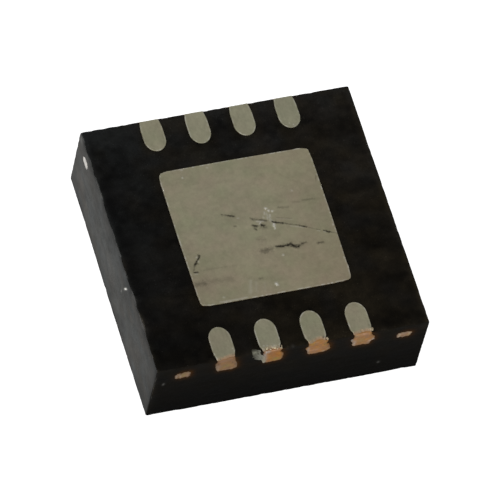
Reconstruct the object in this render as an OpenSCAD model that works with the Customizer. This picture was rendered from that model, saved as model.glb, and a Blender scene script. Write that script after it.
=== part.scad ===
// Leadless low-dropout voltage regulator package, 3 x 3 mm, eight side lands and a thermal pad.
// It lies on its marked face with the terminals up, so +Z points out of the terminal face.
// The origin is the centre of the marked face. Lands run along the front (-Y) and back (+Y) edges.
// Seen from above the lands count clockwise, and the first is the rightmost one on the front edge.

/* [Moulded body] */
// Length of the sawn body along the two rows of lands
body_x = 3.00; // [2.96:0.01:3.10]
// Width of the sawn body across the two rows of lands
body_y = 3.00; // [2.96:0.01:3.10]
// Height of the moulded body, without the plating on the terminals
mould_h = 0.92; // [0.84:0.01:1.00]
// Diameter of the shallow round pin 1 dimple in the marked face
dimple_d = 0.30; // [0.20:0.01:0.40]
// Depth of the pin 1 dimple
dimple_depth = 0.03; // [0.01:0.005:0.05]
// Distance from the two nearest side faces to the middle of the dimple
dimple_inset = 0.42; // [0.35:0.01:0.60]

/* [Lands] */
// Distance from one land to the next in a row
pitch = 0.50; // [0.46:0.01:0.52]
// Width of a land
land_w = 0.24; // [0.20:0.01:0.28]
// Length of a land from the side face to its round inner end
land_l = 0.395; // [0.34:0.005:0.42]
// Length of the land's tapered round end, which is half an ellipse
tip_l = 0.15; // [0.12:0.01:0.20]
// Width of the land's neck at the sawn side face
neck_w = 0.20; // [0.18:0.005:0.25]
// Length over which the land narrows to its neck
neck_l = 0.14; // [0.05:0.01:0.14]

/* [Thermal pad] */
// Length of the exposed pad along the rows
pad_x = 1.69; // [1.50:0.01:1.74]
// Width of the exposed pad across the rows
pad_y = 1.69; // [1.50:0.01:1.72]
// Corner radius of the exposed pad
pad_r = 0.05; // [0.03:0.01:0.12]
// How far the half-etched rim reaches past the pad towards the ends of the rows
rim_x = 0.12; // [0.06:0.01:0.16]
// How far the half-etched rim reaches past the pad towards the lands
rim_y = 0.05; // [0.02:0.01:0.06]

/* [Leadframe] */
// Full thickness of the copper leadframe
frame_t = 0.21; // [0.20:0.01:0.26]
// Share of the thickness that is left where the frame is half-etched from the terminal side
etch_left = 0.5; // [0.4:0.05:0.6]
// How far a lead's half-etched head stands out on each side of its land
head_side = 0.03; // [0.02:0.005:0.04]
// How far the head reaches past the round end of the land
head_tip = 0.05; // [0.03:0.01:0.06]
// How far the head stays back from the sawn side face
head_back = 0.10; // [0.06:0.01:0.14]
// Width of a tie bar
tie_w = 0.18; // [0.14:0.01:0.20]
// Distance from the middle of the body to a tie bar's cut end, along the face it comes out of
tie_out = 1.22; // [1.18:0.01:1.23]

/* [Plating] */
// Thickness of the matt tin on the terminals
tin_t = 0.01; // [0.006:0.001:0.02]

/* [Silicon die] */
// Length of the die along the rows
die_x = 1.30; // [1.20:0.01:1.44]
// Width of the die across the rows
die_y = 1.10; // [1.04:0.01:1.20]
// Thickness of the die
die_t = 0.20; // [0.15:0.01:0.22]
// Thickness of the die-attach epoxy
attach_t = 0.025; // [0.015:0.005:0.04]
// How far the epoxy squeezes out round the die
attach_out = 0.05; // [0.03:0.01:0.07]

/* [Bond wires] */
// Diameter of a bond wire
wire_d = 0.038; // [0.030:0.001:0.042]
// Diameter of the ball where a wire starts on the die
ball_d = 0.085; // [0.075:0.001:0.095]
// Height of the wire loops over the die
loop_h = 0.13; // [0.11:0.01:0.15]
// Distance from the die's edge to the middle of a ball
ball_in = 0.09; // [0.08:0.01:0.12]
// Spread of the balls along the die, as a share of the spread of the lands
fan = 0.68; // [0.60:0.01:0.74]

/* [Hidden] */
$fn = 64;

// Heights of the layers, counted up from the marked face
frame_z = mould_h - frame_t;            // inner face of the leadframe
etch_t = frame_t * etch_left;           // thickness of the half-etched parts
die_z = frame_z - attach_t - die_t;     // bonding face of the die, which looks towards the marked face
over = 0.2;                             // how far a pocket's cutter runs out of the body

// Leads 1 to 4 run from right to left along the front edge, leads 5 to 8 from left to right along the back
function lead_x(n) = n <= 4 ? (2.5 - n) * pitch : (n - 6.5) * pitch;
function lead_side(n) = n <= 4 ? -1 : 1;

// Half the width of a land at distance t from its tip
function half_width(t) =
    let (w = min(neck_w, land_w) / 2, k = min(1, max(0, (t - land_l + neck_l) / neck_l)))
    t < tip_l ? land_w / 2 * sqrt(1 - pow(1 - t / tip_l, 2))
              : land_w / 2 - (land_w / 2 - w) * k * k;

// Outline of one land on the front edge, centred on x = 0, run out past the side face by out
module land_outline(out = 0) {
    tip_y = -body_y / 2 + land_l;
    // distances from the tip at which the outline has a corner
    ts = concat([for (a = [15 : 15 : 90]) tip_l * (1 - cos(a))],
                [for (k = [0 : 5]) land_l - neck_l + neck_l * k / 5]);
    side = [for (t = ts) [half_width(t), tip_y - t]];
    end = [half_width(land_l), -body_y / 2 - out];
    foot = out > 0 ? [end] : [];
    right = concat([[0, tip_y]], side, foot);
    n = len(right) - 1;
    polygon(concat(right, [for (i = [n : -1 : 1]) [-right[i][0], right[i][1]]]));
}

// Outline of the half-etched head of one lead on the front edge
module head_outline() {
    r = land_w / 2 + head_side;
    y0 = -body_y / 2 + head_back;
    y1 = -body_y / 2 + land_l + head_tip - r;
    translate([-r, y0]) square([2 * r, y1 - y0]);
    translate([0, y1]) circle(r = r);
}

// Rectangle with round corners, centred
module round_rect(x, y, r) {
    square([x - 2 * r, y], center = true);
    square([x, y - 2 * r], center = true);
    for (sx = [-1, 1], sy = [-1, 1])
        translate([sx * (x / 2 - r), sy * (y / 2 - r)]) circle(r = r);
}

// Puts what is drawn for the front edge at the place of lead n
module at_lead(n) {
    translate([lead_x(n), 0, 0])
        rotate([0, 0, lead_side(n) < 0 ? 0 : 180]) children();
}

// One lead: full thickness under its land, half thickness in its head
module lead_solid(n, out = 0) {
    at_lead(n) {
        translate([0, 0, frame_z]) linear_extrude(height = frame_t + out) land_outline(out);
        translate([0, 0, frame_z]) linear_extrude(height = etch_t) head_outline();
    }
}

// Tie bar at the front corner of one side: 45 degrees out from the paddle, then straight to the front face
module tie_front(sx, out = 0) {
    h = tie_w / 2;
    k = h * tan(22.5);
    x1 = tie_out;
    y1 = -(tie_out - 0.20);
    d = h / sqrt(2);
    mirror([sx < 0 ? 1 : 0, 0, 0])
        polygon([[0.62 - d, -0.42 - d], [x1 - h, y1 - k], [x1 - h, -body_y / 2 - out],
                 [x1 + h, -body_y / 2 - out], [x1 + h, y1 + k], [0.62 + d, -0.42 + d]]);
}

// Tie bar at the back corner of one side: 45 degrees out from the paddle, then straight to the end face
module tie_back(sx, out = 0) {
    h = tie_w / 2;
    k = h * tan(22.5);
    y1 = tie_out;
    x1 = tie_out + 0.20;
    d = h / sqrt(2);
    mirror([sx < 0 ? 1 : 0, 0, 0])
        polygon([[0.62 - d, 0.42 + d], [x1 - k, y1 + h], [body_x / 2 + out, y1 + h],
                 [body_x / 2 + out, y1 - h], [x1 + k, y1 - h], [0.62 + d, 0.42 - d]]);
}

// Die paddle with its exposed pad, half-etched rim and four tie bars, one piece of copper
module pad_solid(out = 0) {
    translate([0, 0, frame_z]) linear_extrude(height = frame_t + out) round_rect(pad_x, pad_y, pad_r);
    translate([0, 0, frame_z]) linear_extrude(height = etch_t) {
        round_rect(pad_x + 2 * rim_x, pad_y + 2 * rim_y, pad_r);
        for (sx = [-1, 1]) {
            tie_front(sx, out);
            tie_back(sx, out);
        }
    }
}

// Bed of epoxy between the paddle and the die
module attach_solid() {
    translate([0, 0, frame_z - attach_t]) linear_extrude(height = attach_t)
        round_rect(die_x + 2 * attach_out, die_y + 2 * attach_out, attach_out);
}

module die_solid() {
    translate([-die_x / 2, -die_y / 2, die_z]) cube([die_x, die_y, die_t]);
}

// A bond wire is swept along a plane curve: s runs along the floor from the ball to the lead and
// h is the height over the die. Each ring is [s, h, tilt of its plane, half width, half height].
wire_sides = 8;
flat = cos(180 / wire_sides);
drop = die_t + attach_t;
function wire_rings(len, out = 0) =
    let (r = wire_d / 2, b = ball_d / 2, e = 0.35 * r)
    [[0, -out, 90, 0.86 * b, 0.86 * b],
     [0, 0, 90, 0.86 * b, 0.86 * b],
     [0, 0.007, 90, b, b],
     [0, 0.017, 90, b, b],
     [0, 0.026, 90, 0.72 * b, 0.72 * b],
     [0, 0.034, 90, r, r],
     [0, 0.55 * loop_h, 90, r, r],
     [0.007, 0.74 * loop_h, 72, r, r],
     [0.024, 0.89 * loop_h, 47, r, r],
     [0.050, 0.97 * loop_h, 20, r, r],
     [0.085, loop_h, -2, r, r],
     [0.150, 0.965 * loop_h, -12, r, r],
     [0.30 * len + 0.04, 0.62 * loop_h, -24, r, r],
     [0.55 * len, -0.10 * drop, -34, r, r],
     [0.76 * len, -0.56 * drop, -37, r, r],
     [len - 0.085, -0.86 * drop, -26, r, r],
     [len - 0.040, -drop + 0.75 * r * flat, -8, 1.15 * r, 0.75 * r],
     [len, -drop + e * flat, 0, 1.6 * r, e],
     [len + 0.045, -drop + e * flat, 0, 1.9 * r, e],
     [len + 0.060, -drop + 0.7 * e * flat, 0, 1.7 * r, 0.7 * e]];

// Corner i of a ring, with s along x and the height over the die along -z
function ring_point(g, i) =
    let (a = (i + 0.5) * 360 / wire_sides,
         u = g[4] * sin(a))
    [g[0] - u * sin(g[2]), g[3] * cos(a), die_z - g[1] - u * cos(g[2])];

module wire_solid(n, out = 0) {
    x1 = lead_x(n);
    y1 = body_y / 2 - land_l + 0.005;
    x0 = fan * x1;
    y0 = die_y / 2 - ball_in;
    side = lead_side(n);
    len = sqrt((x1 - x0) * (x1 - x0) + (y1 - y0) * (y1 - y0));
    rings = out > 0 ? wire_rings(len, out) : [for (k = [1 : len(wire_rings(len)) - 1]) wire_rings(len)[k]];
    last = len(rings) - 1;
    m = wire_sides;
    translate([x0, side * y0, 0])
        rotate([0, 0, atan2(side * (y1 - y0), x1 - x0)])
            polyhedron(
                points = [for (k = [0 : last], i = [0 : m - 1])
                             ring_point(rings[k], i)],
                faces = concat(
                    [[for (i = [m - 1 : -1 : 0]) i]],
                    [for (k = [0 : last - 1], i = [0 : m - 1])
                        [k * m + i, k * m + (i + 1) % m, (k + 1) * m + i]],
                    [for (k = [0 : last - 1], i = [0 : m - 1])
                        [k * m + (i + 1) % m, (k + 1) * m + (i + 1) % m, (k + 1) * m + i]],
                    [[for (i = [0 : m - 1]) last * m + i]]));
}

// Epoxy moulding, sawn square, with a pocket for everything that it was moulded round
module mould_body() {
    color([0.07, 0.065, 0.06])
        difference() {
            translate([-body_x / 2, -body_y / 2, 0]) cube([body_x, body_y, mould_h]);
            pad_solid(over);
            for (n = [1 : 8]) lead_solid(n, over);
            attach_solid();
            die_solid();
            for (n = [1 : 8]) wire_solid(n, 0.004);
            translate([body_x / 2 - dimple_inset, -body_y / 2 + dimple_inset, -over])
                cylinder(d = dimple_d, h = over + dimple_depth);
        }
}

module thermal_pad() {
    color([0.78, 0.48, 0.26]) pad_solid();
}

module thermal_pad_tin() {
    color([0.56, 0.54, 0.46])
        translate([0, 0, mould_h]) linear_extrude(height = tin_t) round_rect(pad_x, pad_y, pad_r);
}

module lead(n) {
    color([0.80, 0.49, 0.25]) lead_solid(n);
}

module lead_tin(n) {
    color([0.56, 0.54, 0.46])
        at_lead(n) translate([0, 0, mould_h]) linear_extrude(height = tin_t) land_outline();
}

module silicon_die() {
    color([0.36, 0.38, 0.44]) die_solid();
}

module die_attach_epoxy() {
    color([0.72, 0.72, 0.70]) attach_solid();
}

module bond_wire(n) {
    color([0.92, 0.72, 0.30]) wire_solid(n);
}

mould_body();
thermal_pad();
thermal_pad_tin();
lead(1);  // lead_1
lead(2);  // lead_2
lead(3);  // lead_3
lead(4);  // lead_4
lead(5);  // lead_5
lead(6);  // lead_6
lead(7);  // lead_7
lead(8);  // lead_8
lead_tin(1);  // lead_1_tin
lead_tin(2);  // lead_2_tin
lead_tin(3);  // lead_3_tin
lead_tin(4);  // lead_4_tin
lead_tin(5);  // lead_5_tin
lead_tin(6);  // lead_6_tin
lead_tin(7);  // lead_7_tin
lead_tin(8);  // lead_8_tin
silicon_die();
die_attach_epoxy();
bond_wire(1);  // bond_wire_1
bond_wire(2);  // bond_wire_2
bond_wire(3);  // bond_wire_3
bond_wire(4);  // bond_wire_4
bond_wire(5);  // bond_wire_5
bond_wire(6);  // bond_wire_6
bond_wire(7);  // bond_wire_7
bond_wire(8);  // bond_wire_8
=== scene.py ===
import math

import bpy
import numpy as np
from mathutils import Matrix, Vector
from mathutils.geometry import delaunay_2d_cdt


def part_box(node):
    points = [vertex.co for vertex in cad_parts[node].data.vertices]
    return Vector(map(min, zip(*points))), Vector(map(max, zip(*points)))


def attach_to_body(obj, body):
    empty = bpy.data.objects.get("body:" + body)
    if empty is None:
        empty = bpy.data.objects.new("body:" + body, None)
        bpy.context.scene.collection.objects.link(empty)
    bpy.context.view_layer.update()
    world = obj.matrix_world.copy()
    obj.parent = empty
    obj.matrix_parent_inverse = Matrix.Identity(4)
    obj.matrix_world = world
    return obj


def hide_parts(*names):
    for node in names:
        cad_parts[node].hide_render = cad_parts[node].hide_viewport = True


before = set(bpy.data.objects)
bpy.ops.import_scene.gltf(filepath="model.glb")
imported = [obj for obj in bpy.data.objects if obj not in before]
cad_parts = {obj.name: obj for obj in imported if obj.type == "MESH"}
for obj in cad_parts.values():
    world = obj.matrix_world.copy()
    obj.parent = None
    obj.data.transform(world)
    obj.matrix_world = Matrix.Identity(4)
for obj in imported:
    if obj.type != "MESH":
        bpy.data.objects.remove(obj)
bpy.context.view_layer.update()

# Everything is shaped in millimetres and turned into metres when a piece is finished.
MM = 0.001


def node_box(name):
    lo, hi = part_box(name)
    return np.array(lo) / MM, np.array(hi) / MM


mould_lo, mould_hi = node_box("mould_body")
HX, HY, TOP = float(mould_hi[0]), float(mould_hi[1]), float(mould_hi[2])
pad_lo, pad_hi = node_box("thermal_pad_tin")
PADX, PADY, TIN = float(pad_hi[0]), float(pad_hi[1]), float(pad_hi[2] - pad_lo[2])
frame_lo, frame_hi = node_box("thermal_pad")
FRAME_Z = float(frame_lo[2])
ETCH_Z = FRAME_Z + 0.5 * (TOP - FRAME_Z)
LEAD_X = {n: float((node_box("lead_%d_tin" % n)[0][0] + node_box("lead_%d_tin" % n)[1][0]) / 2) for n in range(1, 9)}

# ------------------------------------------------------------------ noise


def lattice(ix, iy, iz, seed):
    h = (ix.astype(np.int64) * 73856093) ^ (iy.astype(np.int64) * 19349663) ^ (iz.astype(np.int64) * 83492791)
    h = (h ^ (seed * 2654435761)) & 0xFFFFFFFF
    h = ((h ^ (h >> 16)) * 0x45D9F3B) & 0xFFFFFFFF
    h = ((h ^ (h >> 16)) * 0x45D9F3B) & 0xFFFFFFFF
    h ^= h >> 16
    return h / 2147483647.5 - 1.0


def noise(x, y=0.0, z=0.0, seed=0):
    """Smooth noise from -1 to 1 with cells one unit wide."""
    x, y, z = np.broadcast_arrays(np.asarray(x, float), np.asarray(y, float), np.asarray(z, float))
    x0, y0, z0 = np.floor(x), np.floor(y), np.floor(z)
    fx, fy, fz = x - x0, y - y0, z - z0
    u, v, w = (f * f * f * (f * (f * 6 - 15) + 10) for f in (fx, fy, fz))
    out = np.zeros(x.shape)
    for i, a in ((0, 1 - u), (1, u)):
        for j, b in ((0, 1 - v), (1, v)):
            for k, c in ((0, 1 - w), (1, w)):
                out += a * b * c * lattice(x0 + i, y0 + j, z0 + k, seed)
    return out


def fbm(x, y=0.0, z=0.0, seed=0, octaves=3):
    total, size, norm = 0.0, 1.0, 0.0
    for o in range(octaves):
        f = 2.03 ** o
        total = total + size * noise(np.asarray(x) * f, np.asarray(y) * f, np.asarray(z) * f, seed + 17 * o)
        norm += size
        size *= 0.55
    return total / norm


def smooth(t):
    t = np.clip(t, 0.0, 1.0)
    return t * t * (3 - 2 * t)


def bump(d, w):
    return np.exp(-(d / w) ** 2)


# ------------------------------------------------------------------ mesh helpers


def make_object(name, verts, faces):
    me = bpy.data.meshes.new(name)
    if isinstance(faces, np.ndarray):
        faces = faces.tolist()
    me.from_pydata(np.asarray(verts, float).tolist(), [], faces)
    me.update()
    o = bpy.data.objects.new(name, me)
    bpy.context.scene.collection.objects.link(o)
    return o


def join_shells(parts):
    """(verts, faces) of several closed shells as one list."""
    verts, faces, base = [], [], 0
    for v, f in parts:
        verts.append(np.asarray(v, float))
        faces += [[i + base for i in face] for face in (f.tolist() if isinstance(f, np.ndarray) else f)]
        base += len(v)
    return np.vstack(verts), faces


def boolean(obj, other, operation):
    m = obj.modifiers.new("cut", "BOOLEAN")
    m.object = other
    m.operation = operation
    m.solver = "MANIFOLD"
    bpy.context.view_layer.update()
    dg = bpy.context.evaluated_depsgraph_get()
    me = bpy.data.meshes.new_from_object(obj.evaluated_get(dg))
    obj.modifiers.clear()
    old = obj.data
    obj.data = me
    bpy.data.meshes.remove(old)
    other_mesh = other.data
    bpy.data.objects.remove(other)
    bpy.data.meshes.remove(other_mesh)
    if len(me.polygons) == 0:
        raise RuntimeError("the boolean on %s left nothing" % obj.name)
    return obj


def coords(obj):
    co = np.zeros(len(obj.data.vertices) * 3)
    obj.data.vertices.foreach_get("co", co)
    return co.reshape(-1, 3)


def set_colour(obj, name, rgb):
    """Stores three numbers a vertex as a colour attribute."""
    a = obj.data.attributes.new(name, "FLOAT_COLOR", "POINT")
    rgba = np.ones((len(rgb), 4), np.float32)
    rgba[:, :3] = np.clip(rgb, 0, 1)
    a.data.foreach_set("color", rgba.ravel())


def finish_piece(obj, node_names, material, sharp=40.0):
    me = obj.data
    me.transform(Matrix.Scale(MM, 4))
    me.polygons.foreach_set("use_smooth", np.ones(len(me.polygons), bool))
    me.set_sharp_from_angle(angle=math.radians(sharp))
    me.update()
    me.materials.clear()
    me.materials.append(material)
    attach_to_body(obj, "root")
    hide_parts(*node_names)
    return obj


def prism(outline, z0, z1):
    """Closed prism over a counter-clockwise outline."""
    p = np.asarray(outline, float)
    n = len(p)
    verts = np.vstack([np.c_[p, np.full(n, z0)], np.c_[p, np.full(n, z1)]])
    faces = [list(range(n - 1, -1, -1)), list(range(n, 2 * n))]
    faces += [[i, (i + 1) % n, n + (i + 1) % n, n + i] for i in range(n)]
    return verts, faces


def turned(shell, angle, shift=(0.0, 0.0, 0.0)):
    v, f = shell
    c, s = math.cos(angle), math.sin(angle)
    out = np.c_[v[:, 0] * c - v[:, 1] * s, v[:, 0] * s + v[:, 1] * c, v[:, 2]] + np.asarray(shift)
    return out, f


def segment_distance(px, py, pts):
    """Distance from each point to an open polyline."""
    best = np.full(np.shape(px), 1e9)
    for (ax, ay), (bx, by) in zip(pts[:-1], pts[1:]):
        dx, dy = bx - ax, by - ay
        t = np.clip(((px - ax) * dx + (py - ay) * dy) / max(dx * dx + dy * dy, 1e-12), 0, 1)
        best = np.minimum(best, np.hypot(px - ax - t * dx, py - ay - t * dy))
    return best


def inside(px, py, poly):
    poly = np.asarray(poly)
    hit = np.zeros(np.shape(px), bool)
    x0, y0 = poly[-1]
    for x1, y1 in poly:
        cross = ((y0 > py) != (y1 > py))
        with np.errstate(divide="ignore", invalid="ignore"):
            at = (x1 - x0) * (py - y0) / (y1 - y0 if y1 != y0 else 1e-12) + x0
        hit ^= cross & (px < at)
        x0, y0 = x1, y1
    return hit


# ------------------------------------------------------------------ the four sawn faces

# A face is drawn on (u, z), with u to the right as it is seen from outside and w the height over the face.
FACES = {
    "front": lambda u, w, z: np.c_[u, -HY - w, z],
    "back": lambda u, w, z: np.c_[-u, HY + w, z],
    "left": lambda u, w, z: np.c_[-HX - w, -u, z],
    "right": lambda u, w, z: np.c_[HX + w, u, z],
}
SAW_SEED = {"front": 11, "back": 41, "left": 71, "right": 101}


def saw_marks(face, u, z):
    """Height of the marks that the saw blade leaves: long arcs, almost level, and torn-out grains."""
    seed = SAW_SEED[face]
    s = z + u * u / 56.0
    lines = noise(s / 0.036, seed=seed) + 0.55 * noise(s / 0.019, u / 1.1, seed=seed + 1)
    slow = 0.65 + 0.35 * noise(u / 0.6, z / 0.22, seed=seed + 2)
    grain = noise(u / 0.045, z / 0.032, seed=seed + 3)
    return 0.0009 * lines * slow + 0.0005 * grain


# Outlines of the copper where the saw cut it, on the face it came out of, read at true scale
LEAD_ENDS = {
    4: [(-0.841, 0.920), (-0.834, 0.900), (-0.833, 0.882), (-0.849, 0.865), (-0.853, 0.842), (-0.850, 0.820), (-0.844, 0.798), (-0.838, 0.776),
        (-0.833, 0.755), (-0.829, 0.735), (-0.826, 0.716), (-0.812, 0.700), (-0.799, 0.693), (-0.780, 0.704), (-0.758, 0.705), (-0.735, 0.701),
        (-0.712, 0.702), (-0.690, 0.700), (-0.664, 0.693), (-0.642, 0.707), (-0.622, 0.712), (-0.607, 0.722), (-0.604, 0.742), (-0.607, 0.765),
        (-0.611, 0.790), (-0.615, 0.813), (-0.626, 0.838), (-0.636, 0.860), (-0.641, 0.880), (-0.644, 0.900), (-0.647, 0.920)],
    3: [(-0.333, 0.920), (-0.334, 0.900), (-0.334, 0.880), (-0.327, 0.858), (-0.322, 0.838), (-0.316, 0.818), (-0.311, 0.798), (-0.306, 0.777),
        (-0.302, 0.757), (-0.300, 0.735), (-0.300, 0.715), (-0.294, 0.701), (-0.278, 0.698), (-0.260, 0.696), (-0.242, 0.697), (-0.222, 0.704),
        (-0.202, 0.706), (-0.181, 0.699), (-0.160, 0.708), (-0.140, 0.705), (-0.122, 0.716), (-0.112, 0.737), (-0.105, 0.757), (-0.109, 0.780),
        (-0.101, 0.800), (-0.103, 0.823), (-0.111, 0.842), (-0.126, 0.860), (-0.139, 0.880), (-0.145, 0.900), (-0.127, 0.920)],
    2: [(0.163, 0.920), (0.168, 0.900), (0.167, 0.880), (0.152, 0.860), (0.143, 0.840), (0.147, 0.820), (0.155, 0.799), (0.162, 0.778),
        (0.168, 0.758), (0.170, 0.738), (0.179, 0.719), (0.198, 0.704), (0.220, 0.706), (0.242, 0.703), (0.264, 0.704), (0.284, 0.705),
        (0.304, 0.711), (0.326, 0.711), (0.344, 0.709), (0.362, 0.712), (0.381, 0.723), (0.400, 0.736), (0.417, 0.747), (0.419, 0.764),
        (0.414, 0.783), (0.409, 0.803), (0.405, 0.823), (0.399, 0.842), (0.386, 0.861), (0.368, 0.880), (0.368, 0.900), (0.378, 0.920)],
    1: [(0.667, 0.920), (0.670, 0.900), (0.670, 0.880), (0.662, 0.861), (0.640, 0.843), (0.640, 0.821), (0.654, 0.800), (0.663, 0.780),
        (0.666, 0.760), (0.667, 0.740), (0.671, 0.720), (0.681, 0.708), (0.700, 0.705), (0.720, 0.711), (0.741, 0.706), (0.762, 0.709),
        (0.782, 0.711), (0.801, 0.707), (0.820, 0.701), (0.841, 0.697), (0.859, 0.709), (0.866, 0.729), (0.870, 0.748), (0.880, 0.763),
        (0.899, 0.769), (0.910, 0.782), (0.904, 0.800), (0.903, 0.820), (0.895, 0.841), (0.884, 0.860), (0.867, 0.881), (0.860, 0.900), (0.858, 0.920)],
}
TIE_ENDS = {
    "front_left": ("front", [(-1.284, 0.735), (-1.282, 0.767), (-1.269, 0.797), (-1.244, 0.811), (-1.220, 0.797), (-1.200, 0.806), (-1.180, 0.815),
                             (-1.160, 0.811), (-1.140, 0.808), (-1.122, 0.793), (-1.112, 0.765), (-1.113, 0.738), (-1.122, 0.718), (-1.140, 0.701),
                             (-1.160, 0.708), (-1.180, 0.707), (-1.200, 0.700), (-1.220, 0.699), (-1.240, 0.705), (-1.265, 0.703), (-1.281, 0.713)]),
    "front_right": ("front", [(1.160, 0.743), (1.163, 0.778), (1.176, 0.799), (1.200, 0.798), (1.220, 0.800), (1.240, 0.797), (1.260, 0.802),
                              (1.280, 0.799), (1.300, 0.796), (1.318, 0.788), (1.328, 0.772), (1.320, 0.748), (1.312, 0.724), (1.300, 0.710),
                              (1.280, 0.712), (1.260, 0.711), (1.240, 0.703), (1.220, 0.710), (1.200, 0.714), (1.175, 0.711)]),
    "left": ("left", [(-1.300, 0.735), (-1.290, 0.712), (-1.265, 0.700), (-1.232, 0.703), (-1.200, 0.697), (-1.170, 0.704), (-1.150, 0.722),
                      (-1.143, 0.752), (-1.150, 0.782), (-1.172, 0.800), (-1.205, 0.803), (-1.240, 0.797), (-1.270, 0.788), (-1.290, 0.765)]),
    "right": ("right", [(1.112, 0.752), (1.120, 0.722), (1.146, 0.705), (1.190, 0.701), (1.238, 0.706), (1.285, 0.700), (1.316, 0.716),
                        (1.328, 0.748), (1.318, 0.784), (1.286, 0.804), (1.240, 0.800), (1.192, 0.809), (1.144, 0.802), (1.120, 0.784)]),
}


def back_end(n, seed):
    """The hidden cut ends on the back face, torn the same way as those in front."""
    c = -LEAD_X[n]
    rng = np.random.default_rng(seed)
    pts = []
    for u, z in [(-0.104, 0.92), (-0.096, 0.895), (-0.088, 0.86), (-0.092, 0.81), (-0.080, 0.762), (-0.066, 0.719), (-0.034, 0.707),
                 (0.015, 0.711), (0.060, 0.706), (0.105, 0.709), (0.138, 0.719), (0.150, 0.750), (0.144, 0.790), (0.130, 0.836),
                 (0.118, 0.876), (0.108, 0.900), (0.103, 0.92)]:
        top = z > 0.91
        pts.append((c + u + (0 if top else rng.uniform(-0.012, 0.012)), z if top else z + rng.uniform(-0.008, 0.006)))
    return pts


for n in (5, 6, 7, 8):
    LEAD_ENDS[n] = back_end(n, 200 + n)


def fine_outline(pts, step, jag, seed, closed=True):
    """Runs along an outline in small steps and roughens it sideways."""
    pts = [np.array(p, float) for p in pts]
    out = []
    for a, b in zip(pts, pts[1:] + pts[:1] if closed else pts[1:]):
        n = max(1, int(round(np.linalg.norm(b - a) / step)))
        d = (b - a) / max(np.linalg.norm(b - a), 1e-9)
        side = np.array([-d[1], d[0]])
        for k in range(n):
            p = a + (b - a) * k / n
            out.append((p, side, abs(a[1] - TOP) < 1e-6 and abs(b[1] - TOP) < 1e-6))
    length = np.arange(len(out)) * step
    r = noise(length / 0.016, seed=seed) + 0.5 * noise(length / 0.007, seed=seed + 1)
    res = []
    for (p, side, on_top), q in zip(out, r):
        hold = smooth((TOP - p[1]) / 0.012) if p[1] > TOP - 0.012 else 1.0
        res.append(p if on_top else p + side * q * jag * hold)
    return np.array(res)


def closed_plate(outline, height, back, spacing=0.0058):
    """A closed plate in (u, w, z): its front follows height(u, z, d), d being the distance from the outline."""
    nb = len(outline)
    u0, z0 = outline.min(0)
    u1, z1 = outline.max(0)
    rows = int((z1 - z0) / (spacing * 0.866)) + 2
    cols = int((u1 - u0) / spacing) + 2
    gu, gz = np.meshgrid(np.arange(cols), np.arange(rows))
    gu = u0 + (gu + 0.5 * (gz % 2)) * spacing
    gz = z0 + gz * spacing * 0.866
    gu, gz = gu.ravel(), gz.ravel()
    loop = np.vstack([outline, outline[:1]])
    keep = inside(gu, gz, outline) & (segment_distance(gu, gz, loop) > spacing * 0.55)
    pts = np.vstack([outline, np.c_[gu[keep], gz[keep]]])
    res = delaunay_2d_cdt([Vector(p) for p in pts.tolist()], [], [list(range(nb))], 1, 1e-7)
    v2 = np.array([tuple(p) for p in res[0]])
    tris = [list(f) for f in res[2]]
    d = segment_distance(v2[:, 0], v2[:, 1], loop)
    edges = {}
    for t in tris:
        for a, b in zip(t, t[1:] + t[:1]):
            edges[(a, b)] = True
    border = {a: b for (a, b) in edges if (b, a) not in edges}
    d[list(border)] = 0.0
    w = height(v2[:, 0], v2[:, 1], d)
    first = next(iter(border))
    chain, cur = [first], border[first]
    while cur != first:
        chain.append(cur)
        cur = border[cur]
    m = len(v2)
    ring = {a: m + i for i, a in enumerate(chain)}
    u = np.r_[v2[:, 0], v2[chain, 0]]
    z = np.r_[v2[:, 1], v2[chain, 1]]
    w = np.r_[w, np.full(len(chain), back)]
    faces = tris + [[border[a], a, ring[a], ring[border[a]]] for a in chain]
    faces.append([ring[a] for a in reversed(chain)])
    return u, w, z, faces


def prism_on_face(face, outline, w0, w1):
    """Closed prism through a side face, from w0 inside to w1 outside."""
    p = np.asarray(outline, float)
    n = len(p)
    verts = np.vstack([FACES[face](p[:, 0], np.full(n, w0), p[:, 1]), FACES[face](p[:, 0], np.full(n, w1), p[:, 1])])
    faces = [list(range(n - 1, -1, -1)), list(range(n, 2 * n))]
    faces += [[i, (i + 1) % n, n + (i + 1) % n, n + i] for i in range(n)]
    return verts, faces


CUT_BACK = 0.0115          # how deep the torn end of a lead reaches into the body
ENDS = {}                  # every cut end: face, outline, fine outline
for n, pts in LEAD_ENDS.items():
    side = "front" if n <= 4 else "back"
    pts = [(u, min(z, TOP)) for u, z in pts]
    ENDS["lead_%d" % n] = (side, pts, fine_outline(pts, 0.0048, 0.0042, 300 + 7 * n))
for k, (name, (side, pts)) in enumerate(TIE_ENDS.items()):
    ENDS["tie_" + name] = (side, pts, fine_outline(pts, 0.0048, 0.0042, 500 + 7 * k))


def end_height(side, lead, seed):
    """Height of the torn copper over the sawn face: dragged lines along the cut and a burr where the blade left."""

    def height(u, z, d):
        drag = noise(u / 0.16, z / 0.014, seed=seed) + 0.4 * noise(u / 0.06, z / 0.007, seed=seed + 1)
        lump = noise(u / 0.05, z / 0.035, seed=seed + 2) + 0.5 * noise(u / 0.018, z / 0.022, seed=seed + 4)
        burr = bump(d - 0.009, 0.007) * (0.5 + 0.5 * noise(u / 0.05, z / 0.05, seed=seed + 3))
        h = saw_marks(side, u, z) + 0.0010 + smooth(d / 0.010) * (0.0020 + 0.0006 * drag + 0.0013 * lump) + 0.0024 * burr * smooth(d / 0.003)
        if lead:
            h = h - 0.0050 * smooth((z - (TOP - 0.012)) / 0.012)
        return h

    return height


def end_plug(key, seed):
    side, pts, fine = ENDS[key]
    u, w, z, faces = closed_plate(fine, end_height(side, key.startswith("lead"), seed), -CUT_BACK + 0.0005)
    return FACES[side](u, w, z), faces


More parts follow.
